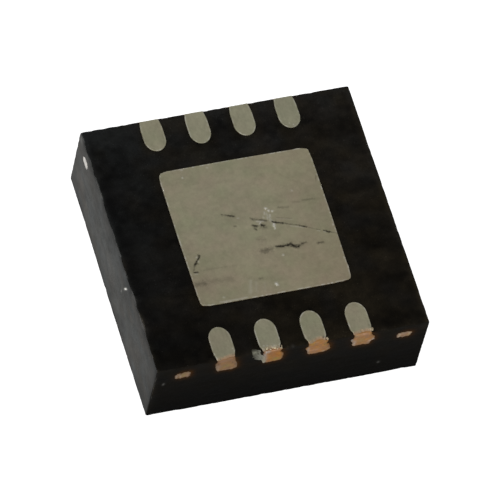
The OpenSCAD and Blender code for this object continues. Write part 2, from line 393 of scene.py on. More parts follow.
# ------------------------------------------------------------------ leadframe outlines

LAND_L, LAND_W, TIP_L, NECK_W, NECK_L = 0.395, 0.24, 0.15, 0.20, 0.14
PAD_R = 0.05
SET_X, SET_Y = 0.0065, 0.002       # the leadframe sits a little off the middle of the moulding
HEAD_SIDE, HEAD_TIP, HEAD_BACK = 0.03, 0.05, 0.10


def half_width(t, grow=0.0):
    t = np.asarray(t, float)
    k = np.clip((t - LAND_L + NECK_L) / NECK_L, 0, 1)
    straight = LAND_W / 2 - (LAND_W / 2 - NECK_W / 2) * k * k
    tip = LAND_W / 2 * np.sqrt(np.clip(1 - (1 - t / TIP_L) ** 2, 0, 1))
    return np.where(t < TIP_L, tip * (1 + grow / (LAND_W / 2)), straight + grow)


# How far the saw drew the edges of each front land in beside its cut end, on the left and on the right
NIP = {1: (0.011, 0.005), 2: (0.013, 0.009), 3: (0.012, 0.013), 4: (0.003, 0.007)}


def nipped(n, t):
    k = smooth((np.asarray(t, float) - LAND_L + 0.078) / 0.046)
    left, right = NIP.get(n, (0.0, 0.0))
    return left * k, right * k


def land_outline(n, t_end, grow=0.0):
    """Outline of a land in its own frame: the tip at (0, 0) and the side face at y = -LAND_L."""
    th = np.linspace(0, math.pi / 2, 25)[1:]
    t = np.r_[TIP_L * (1 - np.cos(th)), np.linspace(TIP_L, LAND_L - 0.08, 9)[1:-1], np.linspace(LAND_L - 0.08, t_end, 24)]
    hw = half_width(t, grow)
    nip_left, nip_right = nipped(n, t)
    right = np.c_[hw - nip_right, -t]
    left = np.c_[-(hw - nip_left)[::-1], -t[::-1]]
    return np.vstack([[(0.0, grow)], left[::-1], right[::-1]])


def head_outline(y_end, grow=0.0):
    """Outline of a lead's half-etched head in the same frame."""
    r = LAND_W / 2 + HEAD_SIDE + grow
    cy = HEAD_TIP - LAND_W / 2 - HEAD_SIDE
    th = np.linspace(math.pi, 0, 33)
    arc = np.c_[r * np.cos(th), cy + r * np.sin(th)]
    return np.vstack([[(r, y_end), (-r, y_end)][::-1], arc])[::-1]


def ccw(p):
    p = np.asarray(p, float)
    area = np.sum(p[:, 0] * np.roll(p[:, 1], -1) - np.roll(p[:, 0], -1) * p[:, 1])
    return p if area > 0 else p[::-1]


def at_lead(n, shell):
    """From a land's own frame to its place on the package."""
    if n <= 4:
        return turned(shell, 0.0, (LEAD_X[n] + SET_X, -HY + LAND_L, 0.0))
    return turned(shell, math.pi, (LEAD_X[n] + SET_X, HY - LAND_L, 0.0))


def round_rect(hx, hy, r, steps=12):
    pts = []
    for cx, cy, a0 in ((hx - r, hy - r, 0), (-hx + r, hy - r, 90), (-hx + r, -hy + r, 180), (hx - r, -hy + r, 270)):
        for k in range(steps + 1):
            a = math.radians(a0 + 90 * k / steps)
            pts.append((cx + r * math.cos(a), cy + r * math.sin(a)))
    return np.array(pts)


# The pad's four corners as they were etched, counter-clockwise, between straight sides
PAD_CORNERS = [
    (0.845, 0.0), (0.843, 0.632), (0.843, 0.688), (0.841, 0.707), (0.838, 0.757), (0.834, 0.784), (0.834, 0.797), (0.830, 0.8064),
    (0.816, 0.821), (0.804, 0.8245), (0.784, 0.8314), (0.759, 0.838), (0.7178, 0.844), (0.686, 0.840), (0.650, 0.840), (0.0, 0.845),
    (-0.672, 0.8425), (-0.693, 0.8405), (-0.737, 0.843), (-0.748, 0.839), (-0.771, 0.838), (-0.782, 0.833), (-0.794, 0.8295),
    (-0.8055, 0.8287), (-0.817, 0.818), (-0.827, 0.804), (-0.834, 0.784), (-0.838, 0.764), (-0.839, 0.733), (-0.8438, 0.703),
    (-0.8422, 0.632), (-0.845, 0.0), (-0.840, -0.631), (-0.841, -0.694), (-0.837, -0.722), (-0.837, -0.749), (-0.834, -0.800),
    (-0.827, -0.810), (-0.823, -0.820), (-0.8167, -0.827), (-0.804, -0.831), (-0.776, -0.837), (-0.755, -0.841), (-0.731, -0.846),
    (-0.703, -0.844), (-0.677, -0.846), (0.0, -0.845), (0.648, -0.844), (0.686, -0.839), (0.728, -0.842), (0.759, -0.834),
    (0.788, -0.834), (0.804, -0.827), (0.815, -0.822), (0.824, -0.813), (0.834, -0.781), (0.836, -0.756), (0.839, -0.708),
    (0.843, -0.687), (0.844, -0.674), (0.841, -0.659), (0.838, -0.631),
]


def pad_outline(grow=0.0):
    """The pad's outline in its own frame."""
    p = np.array(PAD_CORNERS)
    return p * (1 + grow / np.hypot(p[:, 0], p[:, 1]))[:, None]


def on_pad(outline):
    return np.asarray(outline) + (SET_X, SET_Y)


def ray_radius(angle, poly):
    """How far an outline round the origin is in each direction."""
    c, s = np.cos(angle), np.sin(angle)
    out = np.zeros(angle.shape)
    for (ax, ay), (bx, by) in zip(poly, np.roll(poly, -1, 0)):
        ex, ey = bx - ax, by - ay
        den = c * ey - s * ex
        den = np.where(np.abs(den) < 1e-12, 1e-12, den)
        t = (ax * ey - ay * ex) / den
        k = (s * ax - c * ay) / den
        out = np.where((t > 0) & (k > -1e-9) & (k < 1 + 1e-9), np.maximum(out, t), out)
    return out


def tie_bar(sx, back, half, reach):
    """A tie bar: 45 degrees out from the paddle, then straight to its face. reach is where it stops short of the face."""
    k = half * math.tan(math.radians(22.5))
    d = half / math.sqrt(2)
    if not back:
        x1, y1 = 1.22, -1.02
        p = [(0.62 - d, -0.42 - d), (x1 - half, y1 - k), (x1 - half, -HY + reach), (x1 + half, -HY + reach), (x1 + half, y1 + k), (0.62 + d, -0.42 + d)]
    else:
        y1, x1 = 1.22, 1.42
        p = [(0.62 - d, 0.42 + d), (x1 - k, y1 + half), (HX - reach, y1 + half), (HX - reach, y1 - half), (x1 + k, y1 - half), (0.62 + d, 0.42 - d)]
    return ccw([(sx * x, y) for x, y in p])


def union_all(name, shells):
    """One solid from several closed shells."""
    obj = make_object(name, *shells[0])
    for k, s in enumerate(shells[1:]):
        boolean(obj, make_object(name + "_part%d" % k, *s), "UNION")
    return obj


# ------------------------------------------------------------------ mould


def spaced(lo, hi, cells, extra=()):
    """Grid lines from lo to hi, close together near both ends and round any extra places."""
    fine = np.array([0, 0.0025, 0.005, 0.008, 0.0125, 0.019, 0.028, 0.040])
    inner = np.linspace(lo + fine[-1], hi - fine[-1], cells - 2 * (len(fine) - 1) + 1)
    for at, reach in extra:
        inner = np.r_[inner[np.abs(inner - at) > 1.15 * reach], np.linspace(at - reach, at + reach, max(7, int(reach / 0.0022)))]
    return np.r_[lo + fine[:-1], np.sort(inner), (hi - fine[:-1])[::-1]]


def box_surface(xs, ys, zs):
    nx, ny, nz = len(xs) - 1, len(ys) - 1, len(zs) - 1
    on = np.zeros((nx + 1, ny + 1, nz + 1), bool)
    on[[0, -1]] = True
    on[:, [0, -1]] = True
    on[:, :, [0, -1]] = True
    idx = np.argwhere(on)
    ids = np.full(on.shape, -1, np.int64)
    ids[on] = np.arange(len(idx))
    verts = np.c_[xs[idx[:, 0]], ys[idx[:, 1]], zs[idx[:, 2]]]
    quads = []

    def sheet(a, flip):
        q = np.stack([a[:-1, :-1], a[1:, :-1], a[1:, 1:], a[:-1, 1:]], -1).reshape(-1, 4)
        quads.append(q[:, ::-1] if flip else q)

    sheet(ids[:, :, -1], False)
    sheet(ids[:, :, 0], True)
    sheet(ids[:, 0, :], False)
    sheet(ids[:, -1, :], True)
    sheet(ids[0, :, :], True)
    sheet(ids[-1, :, :], False)
    return verts, np.vstack(quads)


def chip_list():
    """Small chips that the saw left along the edges: place, size and depth."""
    rng = np.random.default_rng(77)
    chips = []
    for z in (TOP, 0.0):
        for axis in (0, 1):
            for sgn in (-1, 1):
                for _ in range(24):
                    c = rng.uniform(-1.46, 1.46)
                    p = (c, sgn * HY, z) if axis == 0 else (sgn * HX, c, z)
                    chips.append((p, rng.uniform(0.010, 0.034), rng.uniform(0.004, 0.014)))
    for sx in (-1, 1):
        for sy in (-1, 1):
            for _ in range(6):
                chips.append(((sx * HX, sy * HY, rng.uniform(0.03, TOP - 0.03)), rng.uniform(0.010, 0.022), rng.uniform(0.004, 0.010)))
            chips.append(((sx * HX, sy * HY, TOP), 0.018, 0.010))
    return chips


CHIPS = chip_list()


# Stains on the terminal face: place, reach in x and y, and how much paler or darker
TOP_STAINS = [(-1.45, 0.15, 0.11, 0.85, -0.26), (-1.14, 0.72, 0.15, 0.17, 0.26), (-1.15, 0.34, 0.12, 0.12, 0.12), (-1.17, -0.20, 0.13, 0.11, 0.10),
              (-1.18, -0.66, 0.13, 0.09, 0.30), (-1.14, 1.28, 0.22, 0.16, 0.12), (-1.30, 0.90, 0.10, 0.06, -0.20), (-1.02, 0.10, 0.08, 0.40, -0.12),
              (1.25, 0.48, 0.16, 0.13, 0.26), (1.17, 0.82, 0.12, 0.08, 0.12), (1.33, 1.08, 0.12, 0.14, -0.26), (1.02, 0.95, 0.08, 0.10, -0.14),
              (1.34, 0.28, 0.12, 0.07, -0.28), (1.12, 0.12, 0.10, 0.07, 0.16), (1.33, -0.22, 0.14, 0.08, -0.24), (1.14, -0.48, 0.12, 0.10, -0.12),
              (1.25, -0.62, 0.15, 0.08, 0.24), (1.28, -0.86, 0.16, 0.07, -0.20), (1.20, 1.32, 0.16, 0.10, 0.16), (-1.10, -1.28, 0.20, 0.14, -0.16),
              (1.12, -1.40, 0.30, 0.10, -0.28)]


def pit_list(seed, count, umax, zlo, zhi, rlo, rhi):
    rng = np.random.default_rng(seed)
    return [(rng.uniform(-umax, umax), rng.uniform(zlo, zhi), rng.uniform(rlo, rhi)) for _ in range(count)]


SIDE_PITS = {f: pit_list(600 + k, 46, 1.44, 0.05, TOP - 0.05, 0.012, 0.024) for k, f in enumerate(FACES)}
TOP_PITS = pit_list(650, 70, 1.42, -1.42, 1.42, 0.012, 0.024)


def pits(pit, a, b):
    out = np.zeros(np.shape(a))
    for u, v, r in pit:
        near = (np.abs(a - u) < 3 * r) & (np.abs(b - v) < 3 * r)
        if near.any():
            out[near] += bump(np.hypot(a[near] - u, b[near] - v), r) * r * 0.16
    return out


def face_plan(side, p):
    return {"front": p[:, 0], "back": -p[:, 0], "left": -p[:, 1], "right": p[:, 1]}[side]


def edge_wear_and_highlight(y):
    """Where the left edge of the terminal face is rubbed: it is rounded more there, and painted paler there as a
    painted highlight.
    """
    return 1.1 * bump(y + 0.89, 0.11) + 0.8 * bump(y + 0.59, 0.06) + 0.6 * bump(y - 0.75, 0.12) + 0.25 * bump(y - 0.05, 0.10) + 0.5 * bump(y - 1.42, 0.09)


def build_mould():
    verts, quads = box_surface(spaced(-HX, HX, 151, [(-1.395, 0.014), (1.037, 0.014)]), spaced(-HY, HY, 151, [(-0.362, 0.050), (-0.28, 0.014)]), spaced(0.0, TOP, 52, [(0.738, 0.030)]))
    p0 = verts.copy()
    r = 0.0052 + 0.0018 * noise(p0[:, 0] / 0.03, p0[:, 1] / 0.03, p0[:, 2] / 0.03, seed=5)
    calm = np.where((p0[:, 0] > HX - 0.05) | (p0[:, 1] > HY - 0.05), 0.25, 1.0)
    r += 0.0060 * calm * np.clip(fbm(p0[:, 0] / 0.13, p0[:, 1] / 0.13, seed=4), 0, 1) * (p0[:, 2] > TOP - 0.05)
    r += 0.024 * np.clip(edge_wear_and_highlight(p0[:, 1]), 0, 1) * (1 + 0.35 * noise(p0[:, 1] / 0.03, seed=7)) * (p0[:, 2] > TOP - 0.06) * (p0[:, 0] < -HX + 0.06)
    foot = smooth((0.07 - p0[:, 2]) / 0.04) * smooth((0.07 - p0[:, 1] - HY) / 0.04)
    r += foot * (0.016 * bump(p0[:, 0] + 1.30, 0.11) + 0.010 * bump(p0[:, 0] + 1.42, 0.05) + 0.010 * bump(p0[:, 0] - 1.28, 0.14))
    r += 0.0110 * np.exp(-np.hypot(p0[:, 0] + HX, p0[:, 1] + HY) / 0.03) * smooth((TOP - p0[:, 2]) / 0.15)
    for c, w, a in CHIPS:
        d2 = ((p0 - np.array(c)) ** 2).sum(1)
        near = d2 < 9 * w * w
        r[near] += a * np.exp(-d2[near] / (w * w)) * (1 + 0.4 * noise(p0[near, 0] / 0.008, p0[near, 1] / 0.008, p0[near, 2] / 0.008, seed=6))
    lo = np.array([-HX, -HY, 0.0])
    hi = np.array([HX, HY, TOP])
    q = np.clip(p0, lo + r[:, None], hi - r[:, None])
    d = p0 - q
    nrm = d / np.maximum(np.linalg.norm(d, axis=1), 1e-12)[:, None]
    disp = np.zeros(len(p0))
    for side, axis, sgn in (("front", 1, -1), ("back", 1, 1), ("left", 0, -1), ("right", 0, 1)):
        wgt = np.where(nrm[:, axis] * sgn > 0, nrm[:, axis] ** 2, 0)
        u = face_plan(side, p0)
        edge = np.minimum(np.minimum(HX - np.abs(u), p0[:, 2]), TOP - p0[:, 2])
        disp += wgt * (saw_marks(side, u, p0[:, 2]) - pits(SIDE_PITS[side], u, p0[:, 2]) * smooth(edge / 0.03))
    for z0, sgn, seed in ((TOP, 1, 21), (0.0, -1, 25)):
        wgt = np.where(nrm[:, 2] * sgn > 0, nrm[:, 2] ** 2, 0)
        grain = 0.00055 * noise(p0[:, 0] / 0.034, p0[:, 1] / 0.034, seed=seed) + 0.0011 * fbm(p0[:, 0] / 0.30, p0[:, 1] / 0.30, seed=seed + 1)
        cut = pits(TOP_PITS, p0[:, 0], p0[:, 1] * sgn) * 0.7
        disp += wgt * (grain - cut - 0.0004)
    verts = q + nrm * (r + disp)[:, None]
    # the left cut leans out a hair towards the bottom
    lean = smooth((0.75 - verts[:, 1]) / 0.9) * smooth((0.75 - verts[:, 2]) / 0.75) * smooth((-HX + 0.06 - verts[:, 0]) / 0.05)
    verts[:, 0] -= 0.0062 * lean
    # the bottom stays on the plane that the package rests on
    verts[:, 2] = np.maximum(verts[:, 2], 0.0)
    mould = make_object("mould_compound", verts, quads)

    cutters = []
    for n in range(1, 9):
        land = prism(ccw(land_outline(n, LAND_L - 0.011, 0.0005)), FRAME_Z - 0.0005, TOP + 0.2)
        groove = prism(ccw(land_outline(n, LAND_L - 0.010, 0.0062)), TOP - 0.010, TOP + 0.19)
        head = prism(ccw(head_outline(-LAND_L + HEAD_BACK, 0.0005)), FRAME_Z - 0.0005, ETCH_Z + 0.0005)
        side, pts, fine = ENDS["lead_%d" % n]
        # the torn end's cutter runs out over the terminal face
        top = fine[:, 1] >= TOP - 1e-6
        lifted = fine.copy()
        lifted[top, 1] = TOP + 0.2
        left = fine[top][:, 0].min()
        right = fine[top][:, 0].max()
        rest = fine[~top]
        outline = np.vstack([[(left, TOP + 0.2)], [(left, TOP - 0.001)], rest, [(right, TOP - 0.001)], [(right, TOP + 0.2)]])
        obj = union_all("cut_lead_%d" % n, [at_lead(n, land), at_lead(n, groove), at_lead(n, head), prism_on_face(side, ccw(outline), -CUT_BACK, 0.1)])
        cutters.append(obj)
    pad_parts = [prism(on_pad(pad_outline(0.0005)), FRAME_Z - 0.0005, TOP + 0.2), prism(on_pad(pad_outline(0.0066)), TOP - 0.010, TOP + 0.19),
                 prism(round_rect(PADX + 0.12, PADY + 0.05, PAD_R), FRAME_Z - 0.0005, ETCH_Z + 0.0005)]
    for sx in (-1, 1):
        for back in (False, True):
            pad_parts.append(prism(tie_bar(sx, back, 0.0755, 0.0095), FRAME_Z + 0.0115, ETCH_Z - 0.0095))
    for key in ENDS:
        if key.startswith("tie"):
            side, pts, fine = ENDS[key]
            pad_parts.append(prism_on_face(side, ccw(fine), -CUT_BACK, 0.1))
    dlo, dhi = node_box("silicon_die")
    alo, ahi = node_box("die_attach_epoxy")
    pad_parts.append(prism(round_rect(ahi[0] + 0.0005, ahi[1] + 0.0005, 0.05), alo[2] - 0.0005, ahi[2] + 0.002))
    pad_parts.append(prism([(-dhi[0] - 0.0005, -dhi[1] - 0.0005), (dhi[0] + 0.0005, -dhi[1] - 0.0005), (dhi[0] + 0.0005, dhi[1] + 0.0005), (-dhi[0] - 0.0005, dhi[1] + 0.0005)],
                           dlo[2] - 0.0005, dhi[2] + 0.002))
    cutters.append(union_all("cut_pad", pad_parts))
    a = np.radians(np.arange(0, 360, 5.0))
    cutters.append(make_object("cut_dimple", *prism(np.c_[HX - 0.42 + 0.15 * np.cos(a), -HY + 0.42 + 0.15 * np.sin(a)], -0.2, 0.03)))
    for c in cutters:
        boolean(mould, c, "DIFFERENCE")

    # colour: r tone (a half is the plain compound; it also carries painted light and shade), g pale grain, b sawn face
    p = coords(mould)
    tone = np.full(len(p), 0.5)
    fleck = np.zeros(len(p))
    sawn = np.zeros(len(p))
    for side, axis, sgn in (("front", 1, -1), ("back", 1, 1), ("left", 0, -1), ("right", 0, 1)):
        on = p[:, axis] * sgn > (HX if axis == 0 else HY) - 0.006
        u = face_plan(side, p)[on]
        z = p[on, 2]
        sawn[on] = 1.0
        below = np.maximum(TOP - z, 0)
        if side == "left":
            # painted shade on the left face: darker in a band along the top edge, towards the top, towards the bottom
            # and towards the front corner
            top_shade_band = 0.034 * (1 + 0.75 * noise(u / 0.10, seed=88) + 0.3 * noise(u / 0.035, seed=89))
            t = 0.5 * 1.06 * (1 - 0.42 * np.exp(-below / np.maximum(top_shade_band, 0.008)) - 0.46 * np.exp(-below / 0.25) - 0.56 * np.exp(-z / 0.115))
            t *= 1 - 0.58 * np.exp(-np.maximum(HY - u, 0) / 0.042) - 0.10 * np.exp(-np.maximum(HY - u, 0) / 0.30)
            t *= 1.03 + 0.30 * fbm(u / 0.24, z / 0.22, seed=SAW_SEED[side] + 9) + 0.14 * noise(u / 0.07, z / 0.06, seed=SAW_SEED[side] + 7)
            t += 0.06 * np.exp(-((u - 0.27) / 0.035) ** 2 - ((z - 0.87) / 0.025) ** 2) + 0.42 * np.exp(-((u + 1.44) / 0.05) ** 2 - ((z - 0.87) / 0.05) ** 2)
            # painted highlight: paler along the top edge where it is rubbed
            t *= 1 + 0.45 * edge_wear_and_highlight(-u) * np.exp(-below / 0.05)
            sawn[on] = 0.35
        else:
            # painted shade: the other sawn faces darken towards the bottom, with a painted highlight along the top edge
            t = 0.5 * (0.12 + 1.18 * (np.clip(z, 0, TOP) / TOP) ** 1.05 + 0.10 * np.exp(-below / 0.03))
            if side == "front":
                t *= 0.97 + 0.10 * np.clip(u / HX, -0.7, 1) + 0.35 * smooth((u - 0.8) / 0.6) * smooth((0.35 - z) / 0.3)
                t *= 1 + 1.3 * np.exp(-((u - 1.455) / 0.035) ** 2 - ((z - 0.86) / 0.045) ** 2)
            t *= 1 + 0.13 * fbm(u / 0.26, z / 0.16, seed=SAW_SEED[side] + 9) + 0.04 * noise(u / 0.9, (z + u * u / 56) / 0.05, seed=SAW_SEED[side] + 8)
            t *= 1 + 0.10 * noise(u / 0.08, z / 0.06, seed=SAW_SEED[side] + 7)
            # painted highlight: the upright corner at the face's left end is painted paler, more so towards the bottom
            t *= 1 + (2.6 if side == "front" else 0.6) * np.exp(-np.maximum(u + HX, 0) / (0.012 + 0.028 * (1 - z / TOP)))
        tone[on] = t
        fleck[on] = np.maximum(fleck[on], 0.0)
    top = p[:, 2] > TOP - 0.004
    flat = top & (sawn < 0.2)
    x, y = p[flat, 0], p[flat, 1]

    def apart(cx, cy, hx, hy):
        return np.hypot(np.clip(np.abs(x - cx) - hx, 0, None), np.clip(np.abs(y - cy) - hy, 0, None))

    gap = apart(SET_X, SET_Y, PADX, PADY)
    for n, lx in LEAD_X.items():
        gap = np.minimum(gap, apart(lx + SET_X, (-1 if n <= 4 else 1) * (HY - LAND_L / 2), LAND_W / 2, LAND_L / 2))
    near = np.exp(-gap / 0.10)
    # painted shading on the terminal face: darker towards the front-left corner and just inside the left and front
    # edges, lighter to the right and to the back
    t = 1 + 0.08 * x / HX + 0.12 * y / HY - 0.30 * np.exp(-((x + 1.30) ** 2 + (y + 1.35) ** 2) / 0.35 ** 2)
    t *= 1 - 0.22 * np.exp(-(HX + x) / 0.10) - 0.14 * np.exp(-(HY + y) / 0.12)
    t *= 1 + smooth((1.05 - np.abs(x)) / 0.15) * (0.26 * bump(y + 0.97, 0.11) + 0.18 * bump(y - 0.97, 0.11)) + 0.13 * x * smooth((-1.05 - y) / 0.1) * (np.abs(x) < 0.95)
    t *= 1 + 0.20 * bump(x - 0.50, 0.12) * smooth((-1.05 - y) / 0.1)
    # painted highlights along the four edges of the terminal face, strongest on the left edge where it is rubbed
    edge_highlight_ripple = 1 + 0.55 * noise(x / 0.07, y / 0.07, seed=57) + 0.3 * noise(x / 0.025, y / 0.025, seed=58)
    t *= 1 + edge_highlight_ripple * (5.6 * np.exp(-(HX + x) / 0.018) * (1 + 0.9 * edge_wear_and_highlight(y)) + 4.6 * np.exp(-(HX - x) / 0.020) + 2.9 * np.exp(-(HY - y) / 0.045) + 1.4 * np.exp(-(HY + y) / 0.040))
    t *= 1 + 0.9 * np.exp(-((x + 1.38) ** 2 + (y - 1.42) ** 2) / 0.13 ** 2)
    # painted shading: lighter towards the back
    t *= 1 + 0.12 * smooth((y - 0.75) / 0.3)
    swirl = noise(x / 0.09, y / 0.09, seed=59)
    for bx, by, rx, ry, g in TOP_STAINS:
        t *= 1 + 1.65 * g * np.exp(-np.abs((x - bx) / rx + 0.5 * swirl) ** 3 - np.abs((y - by) / ry + 0.5 * swirl) ** 3)
    t *= 1 + 0.50 * fbm(x / 0.30, y / 0.24, seed=61) + 0.30 * noise(x / 0.075, y / 0.055, seed=62) + 0.10 * noise(x / 0.03, y / 0.03, seed=63)
    tone[flat] = 0.5 * t
    warm = np.zeros(len(p))
    cool = np.zeros(len(p))
    warm[flat] = 0.33 + 0.30 * x / HX - 0.30 * y / HY + 0.40 * near + 0.45 * noise(x / 0.17, y / 0.17, seed=64)
    cool[flat] = 0.10 - 0.50 * x / HX + 0.45 * y / HY + 0.40 * noise(x / 0.20, y / 0.20, seed=66) - 0.6 * near
    left = (p[:, 0] < -HX + 0.008) & ~flat
    cool[left] = 0.52 + 0.35 * noise(p[left, 1] / 0.20, p[left, 2] / 0.12, seed=68)
    front = (p[:, 1] < -HY + 0.006) & ~flat
    warm[front] = 0.48 + 0.35 * noise(p[front, 0] / 0.15, p[front, 2] / 0.12, seed=65)
    for side, u0, z0, ru, rz, g in (("front", -1.395, 0.631, 0.013, 0.018, 0.40), ("front", 1.037, 0.245, 0.014, 0.016, 0.25),
                                    ("left", 0.280, 0.560, 0.009, 0.014, 0.08)):
        axis, sgn = (1, -1) if side == "front" else (0, -1)
        on = p[:, axis] * sgn > (HX if axis == 0 else HY) - 0.008
        u = face_plan(side, p)
        g2 = g * np.exp(-((u - u0) / ru) ** 2 - ((p[:, 2] - z0) / rz) ** 2)
        fleck = np.where(on, np.maximum(fleck, g2), fleck)
    # one bright speck on the left face, a streak across the blade's direction
    du, dz = -p[:, 1] - 0.364, p[:, 2] - 0.740
    along, across = 0.527 * du + 0.850 * dz, 0.850 * du - 0.527 * dz
    speck = 0.34 * np.exp(-(along / 0.046) ** 2 - (across / 0.0100) ** 2)
    fleck = np.where(p[:, 0] < -HX + 0.008, np.maximum(fleck, speck), fleck)
    # and a grey smudge on the front edge between two leads
    smudge = np.exp(-((p[:, 0] + 0.012) / 0.020) ** 2 - ((p[:, 1] + 1.487) / 0.022) ** 2 - ((p[:, 2] - TOP) / 0.02) ** 2)
    smudge += 0.45 * np.exp(-((p[:, 0] + 0.070) / 0.016) ** 2 - ((p[:, 1] + HY) / 0.012) ** 2 - ((p[:, 2] - TOP + 0.01) / 0.016) ** 2)
    fleck = np.maximum(fleck, 0.062 * smudge)
    # a paler line along the front top edge, left of the middle
    edge = np.hypot(np.minimum(TOP - p[:, 2], 0.2), np.minimum(p[:, 1] + HY, 0.2))
    pale_front_edge = bump(edge, 0.012) * np.clip(0.30 + 0.9 * fbm(p[:, 0] / 0.12, seed=67), 0, 1) * np.exp(-((p[:, 0] + 0.25) / 0.30) ** 2)
    fleck = np.maximum(fleck, 0.035 * pale_front_edge)
    # the blade dragged copper dust over the compound round every cut end
    dust = np.zeros(len(p))
    for key, (side, pts, fine) in ENDS.items():
        axis, sgn = {"front": (1, -1), "back": (1, 1), "left": (0, -1), "right": (0, 1)}[side]
        u = face_plan(side, p)
        lo, hi = fine.min(0) - 0.15, fine.max(0) + 0.15
        on = (p[:, axis] * sgn > HY - 0.008) & (u > lo[0]) & (u < hi[0]) & (p[:, 2] > lo[1])
        if on.any():
            open_loop = fine[fine[:, 1] < TOP - 0.002] if key.startswith("lead") else np.vstack([fine, fine[:1]])
            d = segment_distance(u[on], p[on, 2], open_loop)
            g = 0.95 * (1 + 0.45 * noise(u[on] / 0.03, p[on, 2] / 0.02, seed=68))
            g *= 0.30 + 0.70 * smooth((u[on] - fine[:, 0].min()) / 0.09)
            if key == "lead_2":
                g *= 1 + 0.8 * bump(np.hypot(u[on] - 0.425, p[on, 2] - 0.835), 0.045)
            dust[on] = np.maximum(dust[on], g * np.exp(-d / (0.026 if side == "front" else 0.016)) * {"front": 1.0, "left": 0.0}.get(side, 0.45))
    cool[front] = 0.10 + 0.45 * noise(p[front, 0] / 0.22, p[front, 2] / 0.16, seed=69)
    set_colour(mould, "look_two", np.c_[warm, cool, dust])
    set_colour(mould, "look", np.c_[tone, fleck, sawn])
    return mould


# ------------------------------------------------------------------ copper


# How saturated the orange in the middle of a cut end is, and how pale the rim along its lower edge
CORE = {"lead_4": 0.20, "lead_3": 0.80, "lead_2": 0.48, "lead_1": 0.30, "tie_front_left": 0.10, "tie_front_right": 0.20, "tie_right": 0.15, "lead_5": 0.45, "lead_6": 0.30, "lead_7": 0.55, "lead_8": 0.35}
RIM = {"lead_4": 0.40, "lead_3": 0.30, "lead_2": 0.28, "lead_1": 0.25, "tie_front_left": 0.25, "tie_front_right": 0.45}
# How bright each cut end is, and how grey
END_TONE = {"lead_4": (0.87, 0.10), "lead_3": (0.95, 0.0), "lead_2": (1.05, 0.03), "lead_1": (1.05, 0.04), "tie_front_left": (0.80, 0.17),
            "tie_front_right": (1.00, 0.18), "tie_left": (1.0, 0.20), "tie_right": (0.90, 0.17), "lead_5": (1.0, 0.03), "lead_6": (0.95, 0.05), "lead_7": (1.05, 0.02), "lead_8": (0.98, 0.05)}
